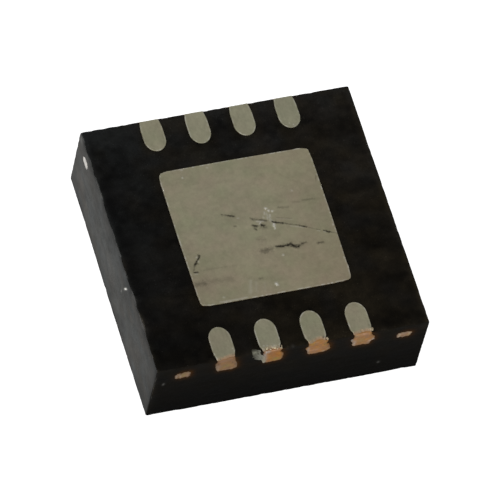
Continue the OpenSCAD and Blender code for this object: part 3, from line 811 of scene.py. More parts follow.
# Patches on the cut ends: kind, place (u, z), reach in u and in z, strength
PATCHES = {
    "lead_4": [("olive", -0.720, 0.790, 0.050, 0.034, 0.85), ("pink", -0.780, 0.895, 0.045, 0.028, 0.80), ("pink", -0.700, 0.915, 0.040, 0.014, 0.60),
               ("pink", -0.623, 0.785, 0.013, 0.035, 0.50), ("pale", -0.840, 0.805, 0.010, 0.045, 0.45), ("pale", -0.818, 0.728, 0.016, 0.022, 0.45),
               ("pale", -0.640, 0.720, 0.030, 0.012, 0.32), ("dark", -0.820, 0.848, 0.010, 0.016, 0.45), ("dark", -0.665, 0.840, 0.009, 0.018, 0.40),
               ("olive", -0.780, 0.745, 0.040, 0.020, 0.30), ("white", -0.818, 0.765, 0.040, 0.070, 0.30), ("shade", -0.618, 0.785, 0.022, 0.050, -0.26),
               ("shade", -0.845, 0.815, 0.016, 0.050, -0.24), ("shade", -0.644, 0.702, 0.022, 0.012, -0.38), ("shade", -0.792, 0.706, 0.022, 0.012, -0.34)],
    "lead_3": [("core", -0.210, 0.850, 0.060, 0.045, 1.00), ("olive", -0.175, 0.750, 0.050, 0.028, 0.95), ("olive", -0.240, 0.790, 0.030, 0.030, 0.35),
               ("pale", -0.306, 0.790, 0.024, 0.090, 0.48), ("pale", -0.290, 0.715, 0.020, 0.018, 0.40), ("pale", -0.118, 0.835, 0.010, 0.014, 0.35),
               ("pale", -0.116, 0.775, 0.011, 0.020, 0.25), ("dark", -0.136, 0.888, 0.013, 0.012, 0.90), ("dark", -0.155, 0.810, 0.010, 0.014, 0.25),
               ("pale", -0.303, 0.908, 0.007, 0.020, 0.45), ("pale", -0.276, 0.900, 0.007, 0.028, 0.40), ("dark", -0.290, 0.905, 0.006, 0.018, 0.30),
               ("pink", -0.150, 0.916, 0.030, 0.010, 0.40), ("pale", -0.235, 0.712, 0.018, 0.010, 0.30), ("shade", -0.112, 0.805, 0.022, 0.060, -0.28),
               ("shade", -0.225, 0.920, 0.080, 0.014, 0.34), ("shade", -0.280, 0.712, 0.030, 0.016, -0.18), ("white", -0.302, 0.780, 0.028, 0.095, 0.34), ("white", -0.290, 0.915, 0.040, 0.022, 0.70), ("white", -0.318, 0.860, 0.026, 0.055, 0.75), ("white", -0.195, 0.921, 0.060, 0.010, 0.30), ("shade", -0.128, 0.708, 0.024, 0.016, -0.42), ("shade", -0.300, 0.702, 0.020, 0.016, -0.30)],
    "lead_2": [("core", 0.275, 0.855, 0.060, 0.035, 0.60), ("pink", 0.255, 0.780, 0.060, 0.035, 0.80), ("olive", 0.210, 0.905, 0.035, 0.022, 0.50),
               ("pale", 0.168, 0.800, 0.014, 0.060, 0.34), ("pale", 0.186, 0.728, 0.018, 0.020, 0.45), ("pale", 0.395, 0.765, 0.018, 0.014, 0.40),
               ("pale", 0.350, 0.725, 0.026, 0.010, 0.60), ("pale", 0.300, 0.716, 0.020, 0.008, 0.30), ("pink", 0.398, 0.812, 0.012, 0.022, 0.20),
               ("dark", 0.386, 0.878, 0.020, 0.011, 1.20), ("dark", 0.343, 0.868, 0.009, 0.010, 0.35), ("dark", 0.372, 0.838, 0.016, 0.007, 0.40),
               ("olive", 0.352, 0.870, 0.016, 0.045, 0.60), ("white", 0.168, 0.790, 0.022, 0.080, 0.35), ("shade", 0.186, 0.725, 0.022, 0.024, -0.22),
               ("shade", 0.300, 0.714, 0.030, 0.012, -0.26), ("shade", 0.404, 0.810, 0.022, 0.035, -0.38), ("shade", 0.396, 0.762, 0.022, 0.018, -0.18),
               ("shade", 0.362, 0.862, 0.028, 0.030, -0.12), ("shade", 0.245, 0.920, 0.075, 0.014, 0.15), ("shade", 0.398, 0.728, 0.022, 0.016, -0.40), ("shade", 0.366, 0.704, 0.024, 0.010, -0.38)],
    "lead_1": [("olive", 0.755, 0.800, 0.050, 0.050, 0.45), ("core", 0.735, 0.760, 0.040, 0.030, 0.30), ("pink", 0.790, 0.905, 0.060, 0.020, 0.70),
               ("pink", 0.685, 0.770, 0.018, 0.060, 0.35), ("pale", 0.660, 0.835, 0.010, 0.026, 0.45), ("pale", 0.682, 0.725, 0.018, 0.018, 0.45),
               ("pale", 0.845, 0.718, 0.018, 0.014, 0.40), ("pale", 0.897, 0.785, 0.013, 0.018, 0.50), ("pink", 0.855, 0.765, 0.022, 0.022, 0.50),
               ("dark", 0.880, 0.800, 0.008, 0.010, 0.12), ("pale", 0.770, 0.716, 0.020, 0.008, 0.20), ("olive", 0.700, 0.900, 0.030, 0.020, 0.40),
               ("white", 0.682, 0.775, 0.026, 0.060, 0.48), ("white", 0.858, 0.765, 0.026, 0.026, 0.34), ("white", 0.700, 0.900, 0.034, 0.024, 0.22),
               ("shade", 0.656, 0.838, 0.014, 0.030, -0.18), ("shade", 0.848, 0.714, 0.026, 0.016, -0.24), ("shade", 0.902, 0.785, 0.016, 0.024, -0.24),
               ("shade", 0.855, 0.768, 0.022, 0.020, 0.16), ("shade", 0.770, 0.712, 0.034, 0.012, -0.22), ("shade", 0.745, 0.920, 0.075, 0.014, 0.30), ("shade", 0.708, 0.706, 0.022, 0.012, -0.34), ("white", 0.648, 0.832, 0.014, 0.026, 0.80), ("white", 0.890, 0.790, 0.018, 0.020, 0.55), ("shade", 0.890, 0.790, 0.018, 0.020, 0.30), ("white", 0.760, 0.920, 0.050, 0.012, 0.22)],
    "tie_front_left": [("pale", -1.267, 0.748, 0.011, 0.034, 0.55), ("pale", -1.223, 0.740, 0.009, 0.022, 0.58), ("pale", -1.241, 0.785, 0.008, 0.018, 0.55),
                       ("olive", -1.190, 0.765, 0.034, 0.034, 0.75), ("pink", -1.148, 0.745, 0.018, 0.036, 0.60), ("pale", -1.136, 0.788, 0.011, 0.016, 0.25),
                       ("dark", -1.249, 0.735, 0.007, 0.030, 0.40), ("dark", -1.226, 0.797, 0.022, 0.013, 0.58), ("dark", -1.175, 0.706, 0.034, 0.010, 0.55),
                       ("dark", -1.120, 0.735, 0.010, 0.034, 0.55), ("dark", -1.242, 0.709, 0.022, 0.009, 0.55)],
    "tie_front_right": [("pale", 1.188, 0.768, 0.014, 0.016, 0.90), ("pale", 1.186, 0.733, 0.014, 0.013, 0.80), ("pale", 1.301, 0.773, 0.016, 0.014, 0.75),
                        ("olive", 1.292, 0.744, 0.020, 0.018, 0.60), ("pink", 1.240, 0.768, 0.036, 0.022, 0.60), ("dark", 1.215, 0.737, 0.018, 0.011, 0.25),
                        ("dark", 1.262, 0.714, 0.034, 0.009, 0.45), ("pale", 1.245, 0.724, 0.007, 0.012, 0.35), ("dark", 1.322, 0.722, 0.012, 0.020, 0.60),
                        ("white", 1.240, 0.768, 0.036, 0.022, 0.34)],
    "tie_right": [("pale", 1.135, 0.752, 0.016, 0.034, 0.60), ("pink", 1.200, 0.760, 0.040, 0.030, 0.60), ("olive", 1.262, 0.748, 0.030, 0.030, 0.60),
                  ("pale", 1.306, 0.770, 0.014, 0.020, 0.50), ("dark", 1.170, 0.712, 0.030, 0.010, 0.50), ("dark", 1.245, 0.796, 0.040, 0.010, 0.50)],
    # painted highlight: the left tie end is painted whitish all over for the light from the left, besides the lamp that
    # lights it
    "tie_left": [("pale", -1.232, 0.745, 0.060, 0.046, 0.60), ("white", -1.222, 0.750, 0.150, 0.110, 2.60)],
}


def end_colour(p, key, seed):
    """What the torn copper looks like at each point: pale, dark, saturated, olive and pink."""
    side, pts, fine = ENDS[key]
    u = face_plan(side, p)
    z = p[:, 2]
    loop = np.vstack([fine, fine[:1]])
    open_loop = fine[fine[:, 1] < TOP - 0.002]
    d = segment_distance(u, z, open_loop) if key.startswith("lead") else segment_distance(u, z, loop)
    n1 = noise(u / 0.03, z / 0.05, seed=seed)
    n2 = noise(u / 0.05, z / 0.018, seed=seed + 1)
    n3 = noise(u / 0.018, z / 0.018, seed=seed + 3)
    below = smooth((0.86 - z) / 0.06) if key.startswith("lead") else 1.0
    out = {"pale": RIM.get(key, 0.35) * np.exp(-(d / (0.015 + 0.006 * n1)) ** 2) * np.clip(0.75 + 0.6 * n3, 0, 1) * below,
           "dark": np.clip(0.16 * n3 + 0.14 * n2, 0, 1),
           "core": np.clip(CORE.get(key, 0.4) + 0.20 * n1 + 0.12 * n3, 0, 1),
           "olive": 0.25 * np.clip(n1, 0, 1), "pink": 0.30 * np.clip(-n1 + 0.4 * n2, 0, 1)}
    gain, grey = END_TONE.get(key, (1.0, 0.06))
    out["white"] = np.clip(grey + 0.06 * n2, 0, 1)
    out["tone"] = gain * (1 + 0.07 * n1 + 0.06 * n3) * (1 - 0.24 * np.exp(-(d / 0.014) ** 2))
    if key == "tie_left":
        out["dark"] = np.full(len(u), 0.12)
    for kind, u0, z0, ru, rz, g in PATCHES.get(key, []):
        # the patches lean a little, as the blade dragged them
        du = (u - u0) / ru + 0.25 * n3
        dz = (z - z0) / rz + 0.25 * n1
        m = g * np.exp(-du * du - dz * dz) * (1 + 0.25 * n3)
        if kind == "shade":
            out["tone"] = out["tone"] * (1 + m)
            continue
        out[kind] = np.maximum(out[kind], m)
        if kind == "pale":
            out["dark"] = out["dark"] * (1 - np.clip(m, 0, 1))
    return out


def colour_copper(obj, keys, seed):
    p = coords(obj)
    look = np.zeros((len(p), 3))
    look[:, 2] = 0.5
    two = np.zeros((len(p), 3))
    three = np.full((len(p), 3), 0.5)
    for k, key in enumerate(keys):
        side, pts, fine = ENDS[key]
        u = face_plan(side, p)
        axis, sgn = {"front": (1, -1), "back": (1, 1), "left": (0, -1), "right": (0, 1)}[side]
        on = (p[:, axis] * sgn > HY - 0.05) & (u > fine[:, 0].min() - 0.05) & (u < fine[:, 0].max() + 0.05)
        if on.any():
            c = end_colour(p[on], key, seed + 31 * k)
            look[on] = np.c_[c["pale"], c["dark"], c["core"]]
            two[on] = np.c_[c["olive"], c["pink"], c["white"]]
            three[on, 0] = 0.5 * c["tone"]
    set_colour(obj, "look", look)
    set_colour(obj, "look_two", two)
    set_colour(obj, "look_three", three)


def build_lead(n):
    key = "lead_%d" % n
    land = prism(ccw(land_outline(n, LAND_L - CUT_BACK + 0.0010)), FRAME_Z, TOP - 0.0002)
    head = prism(ccw(head_outline(-LAND_L + HEAD_BACK)), FRAME_Z, ETCH_Z)
    obj = union_all("lead_%d_copper" % n, [at_lead(n, land), at_lead(n, head), end_plug(key, 900 + 13 * n)])
    colour_copper(obj, [key], 1200 + 41 * n)
    return obj


def build_pad_copper():
    parts = [prism(on_pad(pad_outline()), FRAME_Z, TOP - 0.0002), prism(round_rect(PADX + 0.12, PADY + 0.05, PAD_R), FRAME_Z, ETCH_Z)]
    for sx in (-1, 1):
        for back in (False, True):
            parts.append(prism(tie_bar(sx, back, 0.075, 0.0100), FRAME_Z + 0.012, ETCH_Z - 0.010))
    keys = [k for k in ENDS if k.startswith("tie")]
    for k, key in enumerate(keys):
        parts.append(end_plug(key, 1100 + 13 * k))
    obj = union_all("pad_copper", parts)
    colour_copper(obj, keys, 1700)
    return obj


# ------------------------------------------------------------------ tin on the lands

# How far the bare copper reaches in from the side face, left to right as seen from outside
TIN_EDGE = {
    4: [(-1.0, 0.001), (-0.4, 0.006), (0.1, 0.012), (0.5, 0.017), (1.0, 0.018)],
    3: [(-1.0, 0.011), (-0.6, 0.020), (-0.2, 0.030), (0.2, 0.032), (0.6, 0.030), (1.0, 0.018)],
    2: [(-1.0, 0.001), (-0.5, 0.006), (0.0, 0.029), (0.4, 0.033), (0.8, 0.017), (1.0, 0.005)],
    1: [(-1.0, 0.005), (-0.4, 0.020), (0.1, 0.027), (0.6, 0.024), (1.0, 0.012)],
    5: [(-1.0, 0.000), (0.0, 0.002), (1.0, 0.001)],
    6: [(-1.0, 0.001), (0.0, 0.000), (1.0, 0.002)],
    7: [(-1.0, 0.000), (0.0, 0.002), (1.0, 0.001)],
    8: [(-1.0, 0.001), (0.0, 0.001), (1.0, 0.002)],
}
# How bright the tin of each land is beside the pad's, and how green
LAND_TONE = {1: (0.95, 0.20), 2: (0.94, 0.25), 3: (0.95, 0.60), 4: (0.90, 0.35), 5: (0.99, 0.45), 6: (1.03, 0.68), 7: (1.00, 0.68), 8: (0.98, 0.80)}
GROW = 0.001


# Crumbs and burrs standing at the cut edge: centre, and reach in x, y and z
CRUMBS = {
    3: [(-0.290, -1.467, 0.930, 0.0120, 0.0150, 0.0065), (-0.204, -1.473, 0.930, 0.0115, 0.0135, 0.0070), (-0.226, -1.470, 0.929, 0.0130, 0.0085, 0.0045),
        (-0.139, -1.486, 0.925, 0.0150, 0.0095, 0.0060), (-0.254, -1.483, 0.928, 0.0090, 0.0080, 0.0045), (-0.182, -1.486, 0.925, 0.0075, 0.0070, 0.0045), (-0.129, -1.462, 0.922, 0.0080, 0.0130, 0.0035)],
    2: [(0.372, -1.474, 0.924, 0.0135, 0.0170, 0.0065)],
    1: [(0.872, -1.459, 0.924, 0.0130, 0.0210, 0.0045)],
}
CRUMB_TONE = {3: (1.00, 0.30), 2: (0.68, 0.40), 1: (0.54, 0.36)}


def crumb(centre, reach, seed):
    """A small lumpy grain of metal."""
    rows, cols = 9, 16
    pts = [(0.0, 0.0, 1.0)]
    for i in range(1, rows):
        a = math.pi * i / rows
        pts += [(math.sin(a) * math.cos(2 * math.pi * j / cols), math.sin(a) * math.sin(2 * math.pi * j / cols), math.cos(a)) for j in range(cols)]
    pts.append((0.0, 0.0, -1.0))
    pts = np.array(pts)
    lump = 1 + 0.30 * noise(pts[:, 0] * 1.6, pts[:, 1] * 1.6, pts[:, 2] * 1.6, seed=seed) + 0.12 * noise(pts[:, 0] * 4, pts[:, 1] * 4, pts[:, 2] * 4, seed=seed + 1)
    v = np.array(centre) + pts * lump[:, None] * np.array(reach)
    last = len(pts) - 1
    f = [[0, 1 + j, 1 + (j + 1) % cols] for j in range(cols)]
    for i in range(rows - 2):
        a, b = 1 + i * cols, 1 + (i + 1) * cols
        f += [[a + j, b + j, b + (j + 1) % cols, a + (j + 1) % cols] for j in range(cols)]
    a = 1 + (rows - 2) * cols
    f += [[last, a + (j + 1) % cols, a + j] for j in range(cols)]
    return v, f


def build_plating(n):
    nu, tip_rows, rows = 52, 26, 62
    s = np.linspace(-1, 1, nu + 1)
    cross = 0.55 * np.sin(s * math.pi / 2) + 0.45 * s
    edge = np.interp(cross, *zip(*TIN_EDGE[n])) + (0.004 * noise(cross / 0.16, seed=40 + n) + 0.0025 * noise(cross / 0.05, seed=60 + n)) * (1 if n <= 4 else 0.3)
    t_end = LAND_L - np.clip(edge, -0.0005, None)
    th = np.linspace(0, math.pi / 2, tip_rows + 1)[1:]
    tt = TIP_L * (1 - np.cos(th))
    T = [np.full(nu + 1, t) for t in tt]
    for k in range(1, rows + 1):
        f = k / rows
        f = 0.35 * math.sin(f * math.pi / 2) + 0.65 * f
        T.append(TIP_L + (t_end - TIP_L) * f)
    T = np.array(T)
    hw = half_width(T, GROW)
    nip_left, nip_right = nipped(n, T)
    X = cross[None, :] * (hw - np.where(cross[None, :] < 0, nip_left, nip_right))
    Y = -T
    nv = len(T)
    pts = np.vstack([[(0.0, GROW)], np.c_[X.ravel(), Y.ravel()]])
    idx = 1 + np.arange(nv * (nu + 1)).reshape(nv, nu + 1)
    faces = [[0, int(idx[0, j]), int(idx[0, j + 1])] for j in range(nu)]
    q = np.stack([idx[:-1, :-1], idx[1:, :-1], idx[1:, 1:], idx[:-1, 1:]], -1).reshape(-1, 4)
    faces += q.tolist()
    ring = [0] + idx[:, 0].tolist() + idx[-1, 1:].tolist() + idx[-2::-1, -1].tolist()
    loop = pts[ring + ring[:1]]
    d = segment_distance(pts[:, 0], pts[:, 1], loop)
    d[ring] = 0.0
    x, y = pts[:, 0], pts[:, 1]
    seed = 2000 + 50 * n
    rise = np.sqrt(np.clip(1 - (1 - np.clip(d / 0.0065, 0, 1)) ** 2, 0, 1))
    front = np.interp(x / np.maximum(half_width(-y, GROW), 1e-6), cross, t_end) + y
    # the tin thins out towards the bare copper, so that it ends without a step
    side_d = segment_distance(x, y, pts[idx[::-1, 0].tolist() + [0] + idx[:, -1].tolist()])
    side_d[[0] + idx[:, 0].tolist() + idx[:, -1].tolist()] = 0.0
    rise = np.sqrt(np.clip(1 - (1 - np.clip(side_d / 0.0065, 0, 1)) ** 2, 0, 1))
    thin = smooth(front / 0.040) if n <= 4 else smooth(front / 0.006)
    z = TOP + 0.0007 + (0.0015 + (TIN - 0.0022) * rise) * thin
    z += 0.0012 * bump(side_d - 0.010, 0.006) * (0.8 + 0.8 * noise(x / 0.02, y / 0.02, seed=seed)) * thin
    z += smooth(d / 0.006) * thin * (0.0006 * noise(x / 0.016, y / 0.016, seed=seed + 1) + 0.0003 * noise(x / 0.008, y / 0.02, seed=seed + 2)
                                     + 0.0009 * noise(x / 0.10, y / 0.13, seed=seed + 3))
    # r dark, g pale, b tone (a half is the plain tin)
    gain, green = LAND_TONE[n]
    tone = 0.5 * gain * (1 + 0.095 * fbm(x / 0.07, y / 0.10, seed=seed + 4) + 0.050 * noise(x / 0.02, y / 0.03, seed=seed + 8))
    away = smooth((front - 0.010) / 0.03)
    dots = np.clip(0.45 + 0.95 * noise(x / 0.020, y / 0.026, seed=seed + 5) + 0.3 * noise(x / 0.05, y / 0.08, seed=seed + 9), 0, 1.3)
    pale = 0.46 * bump(side_d - 0.0075, 0.0065) * dots * (0.25 + 0.75 * away)
    dark = 0.10 * bump(side_d - 0.026, 0.010) * np.clip(noise(x / 0.03, y / 0.05, seed=seed + 6), 0, 1)
    tint = (1 - smooth((front - 0.001) / 0.046)) * np.clip(0.85 + 0.40 * noise(x / 0.03, y / 0.02, seed=seed + 7), 0, 1) * (1.0 if n <= 4 else 0.0)
    if n == 3:
        tint *= 0.55
    ridge = {8: [(-0.018, 0.360, 0.008, 0.55), (0.020, 0.335, 0.006, 0.5), (-0.055, 0.365, 0.006, 0.4)],
             3: [(-0.070, 0.075, 0.010, 0.35), (-0.035, 0.070, 0.009, 0.35), (-0.085, 0.035, 0.012, 0.35), (0.030, 0.045, 0.022, 0.30)],
             2: [(0.090, 0.045, 0.010, 0.40), (0.080, 0.006, 0.008, 0.45)], 4: [(-0.096, 0.020, 0.010, 0.30), (0.098, 0.110, 0.010, 0.30)]}.get(n, [])
    for cx, cy, r, g in ridge:
        # measured from the side face inwards
        b = bump(np.hypot(x - cx, y + LAND_L - cy), r)
        pale = np.maximum(pale, g * b)
        z += 0.0025 * g * b * smooth(d / 0.004)
    # a little of the mould shows as a darker spot beside the rim
    for cx, cy, r, g in {4: [(-0.060, 0.010, 0.008, 0.35), (0.082, 0.040, 0.010, 0.42)], 1: [(0.095, 0.090, 0.009, 0.35)],
                        2: [(-0.080, 0.070, 0.012, 0.20), (0.080, 0.048, 0.013, 0.72)], 3: [(0.020, 0.060, 0.012, 0.20), (0.082, 0.045, 0.010, 0.45)]}.get(n, []):
        dark = np.maximum(dark, g * bump(np.hypot(x - cx, y + LAND_L - cy), r))
    m = len(pts)
    verts = np.vstack([np.c_[pts, z], np.c_[loop[:-1], np.full(len(ring), TOP)]])
    wall = m + np.arange(len(ring))
    k = len(ring)
    faces += [[ring[(i + 1) % k], ring[i], int(wall[i]), int(wall[(i + 1) % k])][::-1] for i in range(k)]
    faces.append([int(w) for w in wall[::-1]])
    shell = (verts, faces)
    look = np.zeros((len(verts), 3))
    look[:m] = np.c_[dark, pale, tone]
    look[m:] = (0, 0.1, 0.5)
    two = np.zeros((len(verts), 3))
    two[:, 2] = green
    two[:m, 0] = tint
    verts, faces = at_lead(n, shell)
    extra = []
    if n == 3:
        # a smear of tin that the saw dragged over the edge and down the front face
        smear = fine_outline([(-0.458, 0.9195), (-0.454, 0.903), (-0.446, 0.880), (-0.439, 0.850), (-0.427, 0.822), (-0.409, 0.799), (-0.380, 0.790), (-0.350, 0.785),
                              (-0.333, 0.764), (-0.330, 0.738), (-0.327, 0.716), (-0.310, 0.699), (-0.285, 0.708), (-0.281, 0.735), (-0.290, 0.776), (-0.305, 0.812),
                              (-0.321, 0.846), (-0.337, 0.867), (-0.350, 0.866), (-0.361, 0.884), (-0.369, 0.903), (-0.373, 0.9195)], 0.0055, 0.0080, 77)

        def height(u, z, d):
            return saw_marks("front", u, z) + 0.0018 + smooth(d / 0.012) * (0.0048 + 0.0016 * noise(u / 0.02, z / 0.05, seed=78) + 0.0008 * noise(u / 0.008, z / 0.012, seed=79))

        u, w, z2, f2 = closed_plate(smear, height, -0.0012, 0.0062)
        extra.append((FACES["front"](u, w, z2), f2, 0.30))
        lip = fine_outline([(-0.459, -1.5022), (-0.373, -1.5022), (-0.366, -1.484), (-0.366, -1.464), (-0.376, -1.452), (-0.394, -1.448), (-0.410, -1.438),
                            (-0.428, -1.432), (-0.443, -1.440), (-0.452, -1.458), (-0.460, -1.480)], 0.0055, 0.0080, 81)

        def lip_height(u, v, d):
            return TOP + 0.0010 + smooth(d / 0.010) * (0.0042 + 0.0014 * noise(u / 0.02, v / 0.02, seed=82))

        u, w, v2, f2 = closed_plate(lip, lip_height, TOP - 0.0012, 0.0062)
        extra.append((np.c_[u, v2, w], f2, 0.30))
    base = len(verts)
    verts = [verts]
    for v, f, g in extra:
        verts.append(v)
        faces = faces + [[i + base for i in face] for face in f]
        base += len(v)
        drag = noise((v[:, 0] + 0.55 * v[:, 2]) / 0.014, (v[:, 2] - 0.55 * v[:, 0]) / 0.09, seed=83) + 0.5 * noise(v[:, 0] / 0.012, v[:, 2] / 0.014, seed=85)
        spot = noise(v[:, 0] / 0.022, (v[:, 1] + v[:, 2]) / 0.022, seed=86)
        # it wears thin to the left, and turns to the beige of the lead's rim on the right
        thin = smooth((-0.360 - v[:, 0]) / 0.080) * np.where(v[:, 2] > TOP - 0.003, 1.12, 1.0)
        lit = smooth((v[:, 0] + 0.352) / 0.035)
        # a thick pale lump hangs over the edge at its left end
        down = np.where(v[:, 2] > TOP - 0.002, v[:, 1] + 1.488, (v[:, 2] - TOP) * 0.55 - 0.012)
        lump = np.exp(-((v[:, 0] + 0.432) / 0.028) ** 2 - (down / 0.024) ** 2)
        # painted shade: the smear is darker at its lower tip
        low = smooth((0.722 - v[:, 2]) / 0.020)
        t = np.c_[np.clip(0.06 + 0.14 * drag + 0.68 * thin + 0.32 * spot * smooth(thin / 0.3) + 0.22 * (v[:, 2] > TOP - 0.003), 0, 0.94) * (1 - 0.8 * lit) * (1 - lump) + 0.45 * low,
                  np.clip(g * 0.35 * (1 - thin) + 0.16 * lit - 0.10 * drag, 0, 0.8), np.full(len(v), 0.5)]
        look = np.vstack([look, t])
        two = np.vstack([two, np.c_[0.22 * lit, 0.92 * (1 - lit), 0.6 * (1 - lit)]])
    for k, (cx, cy, cz, rx, ry, rz) in enumerate(CRUMBS.get(n, [])):
        v, f = crumb((cx, cy, cz), (rx, ry, rz), 90 + 7 * n + k)
        verts.append(v)
        faces = faces + [[i + base for i in face] for face in f]
        base += len(v)
        look = np.vstack([look, np.tile((0.0, 0.04, CRUMB_TONE[n][0] * {3: 0.88, 6: 0.45}.get(k, 1.0)), (len(v), 1))])
        two = np.vstack([two, np.tile((CRUMB_TONE[n][1] + (0.12 if k == 3 else 0.0), 0.0, 0.0), (len(v), 1))])
    obj = make_object("lead_%d_plating" % n, np.vstack(verts), faces)
    set_colour(obj, "look", look)
    set_colour(obj, "look_two", two)
    return obj


# ------------------------------------------------------------------ tin on the pad

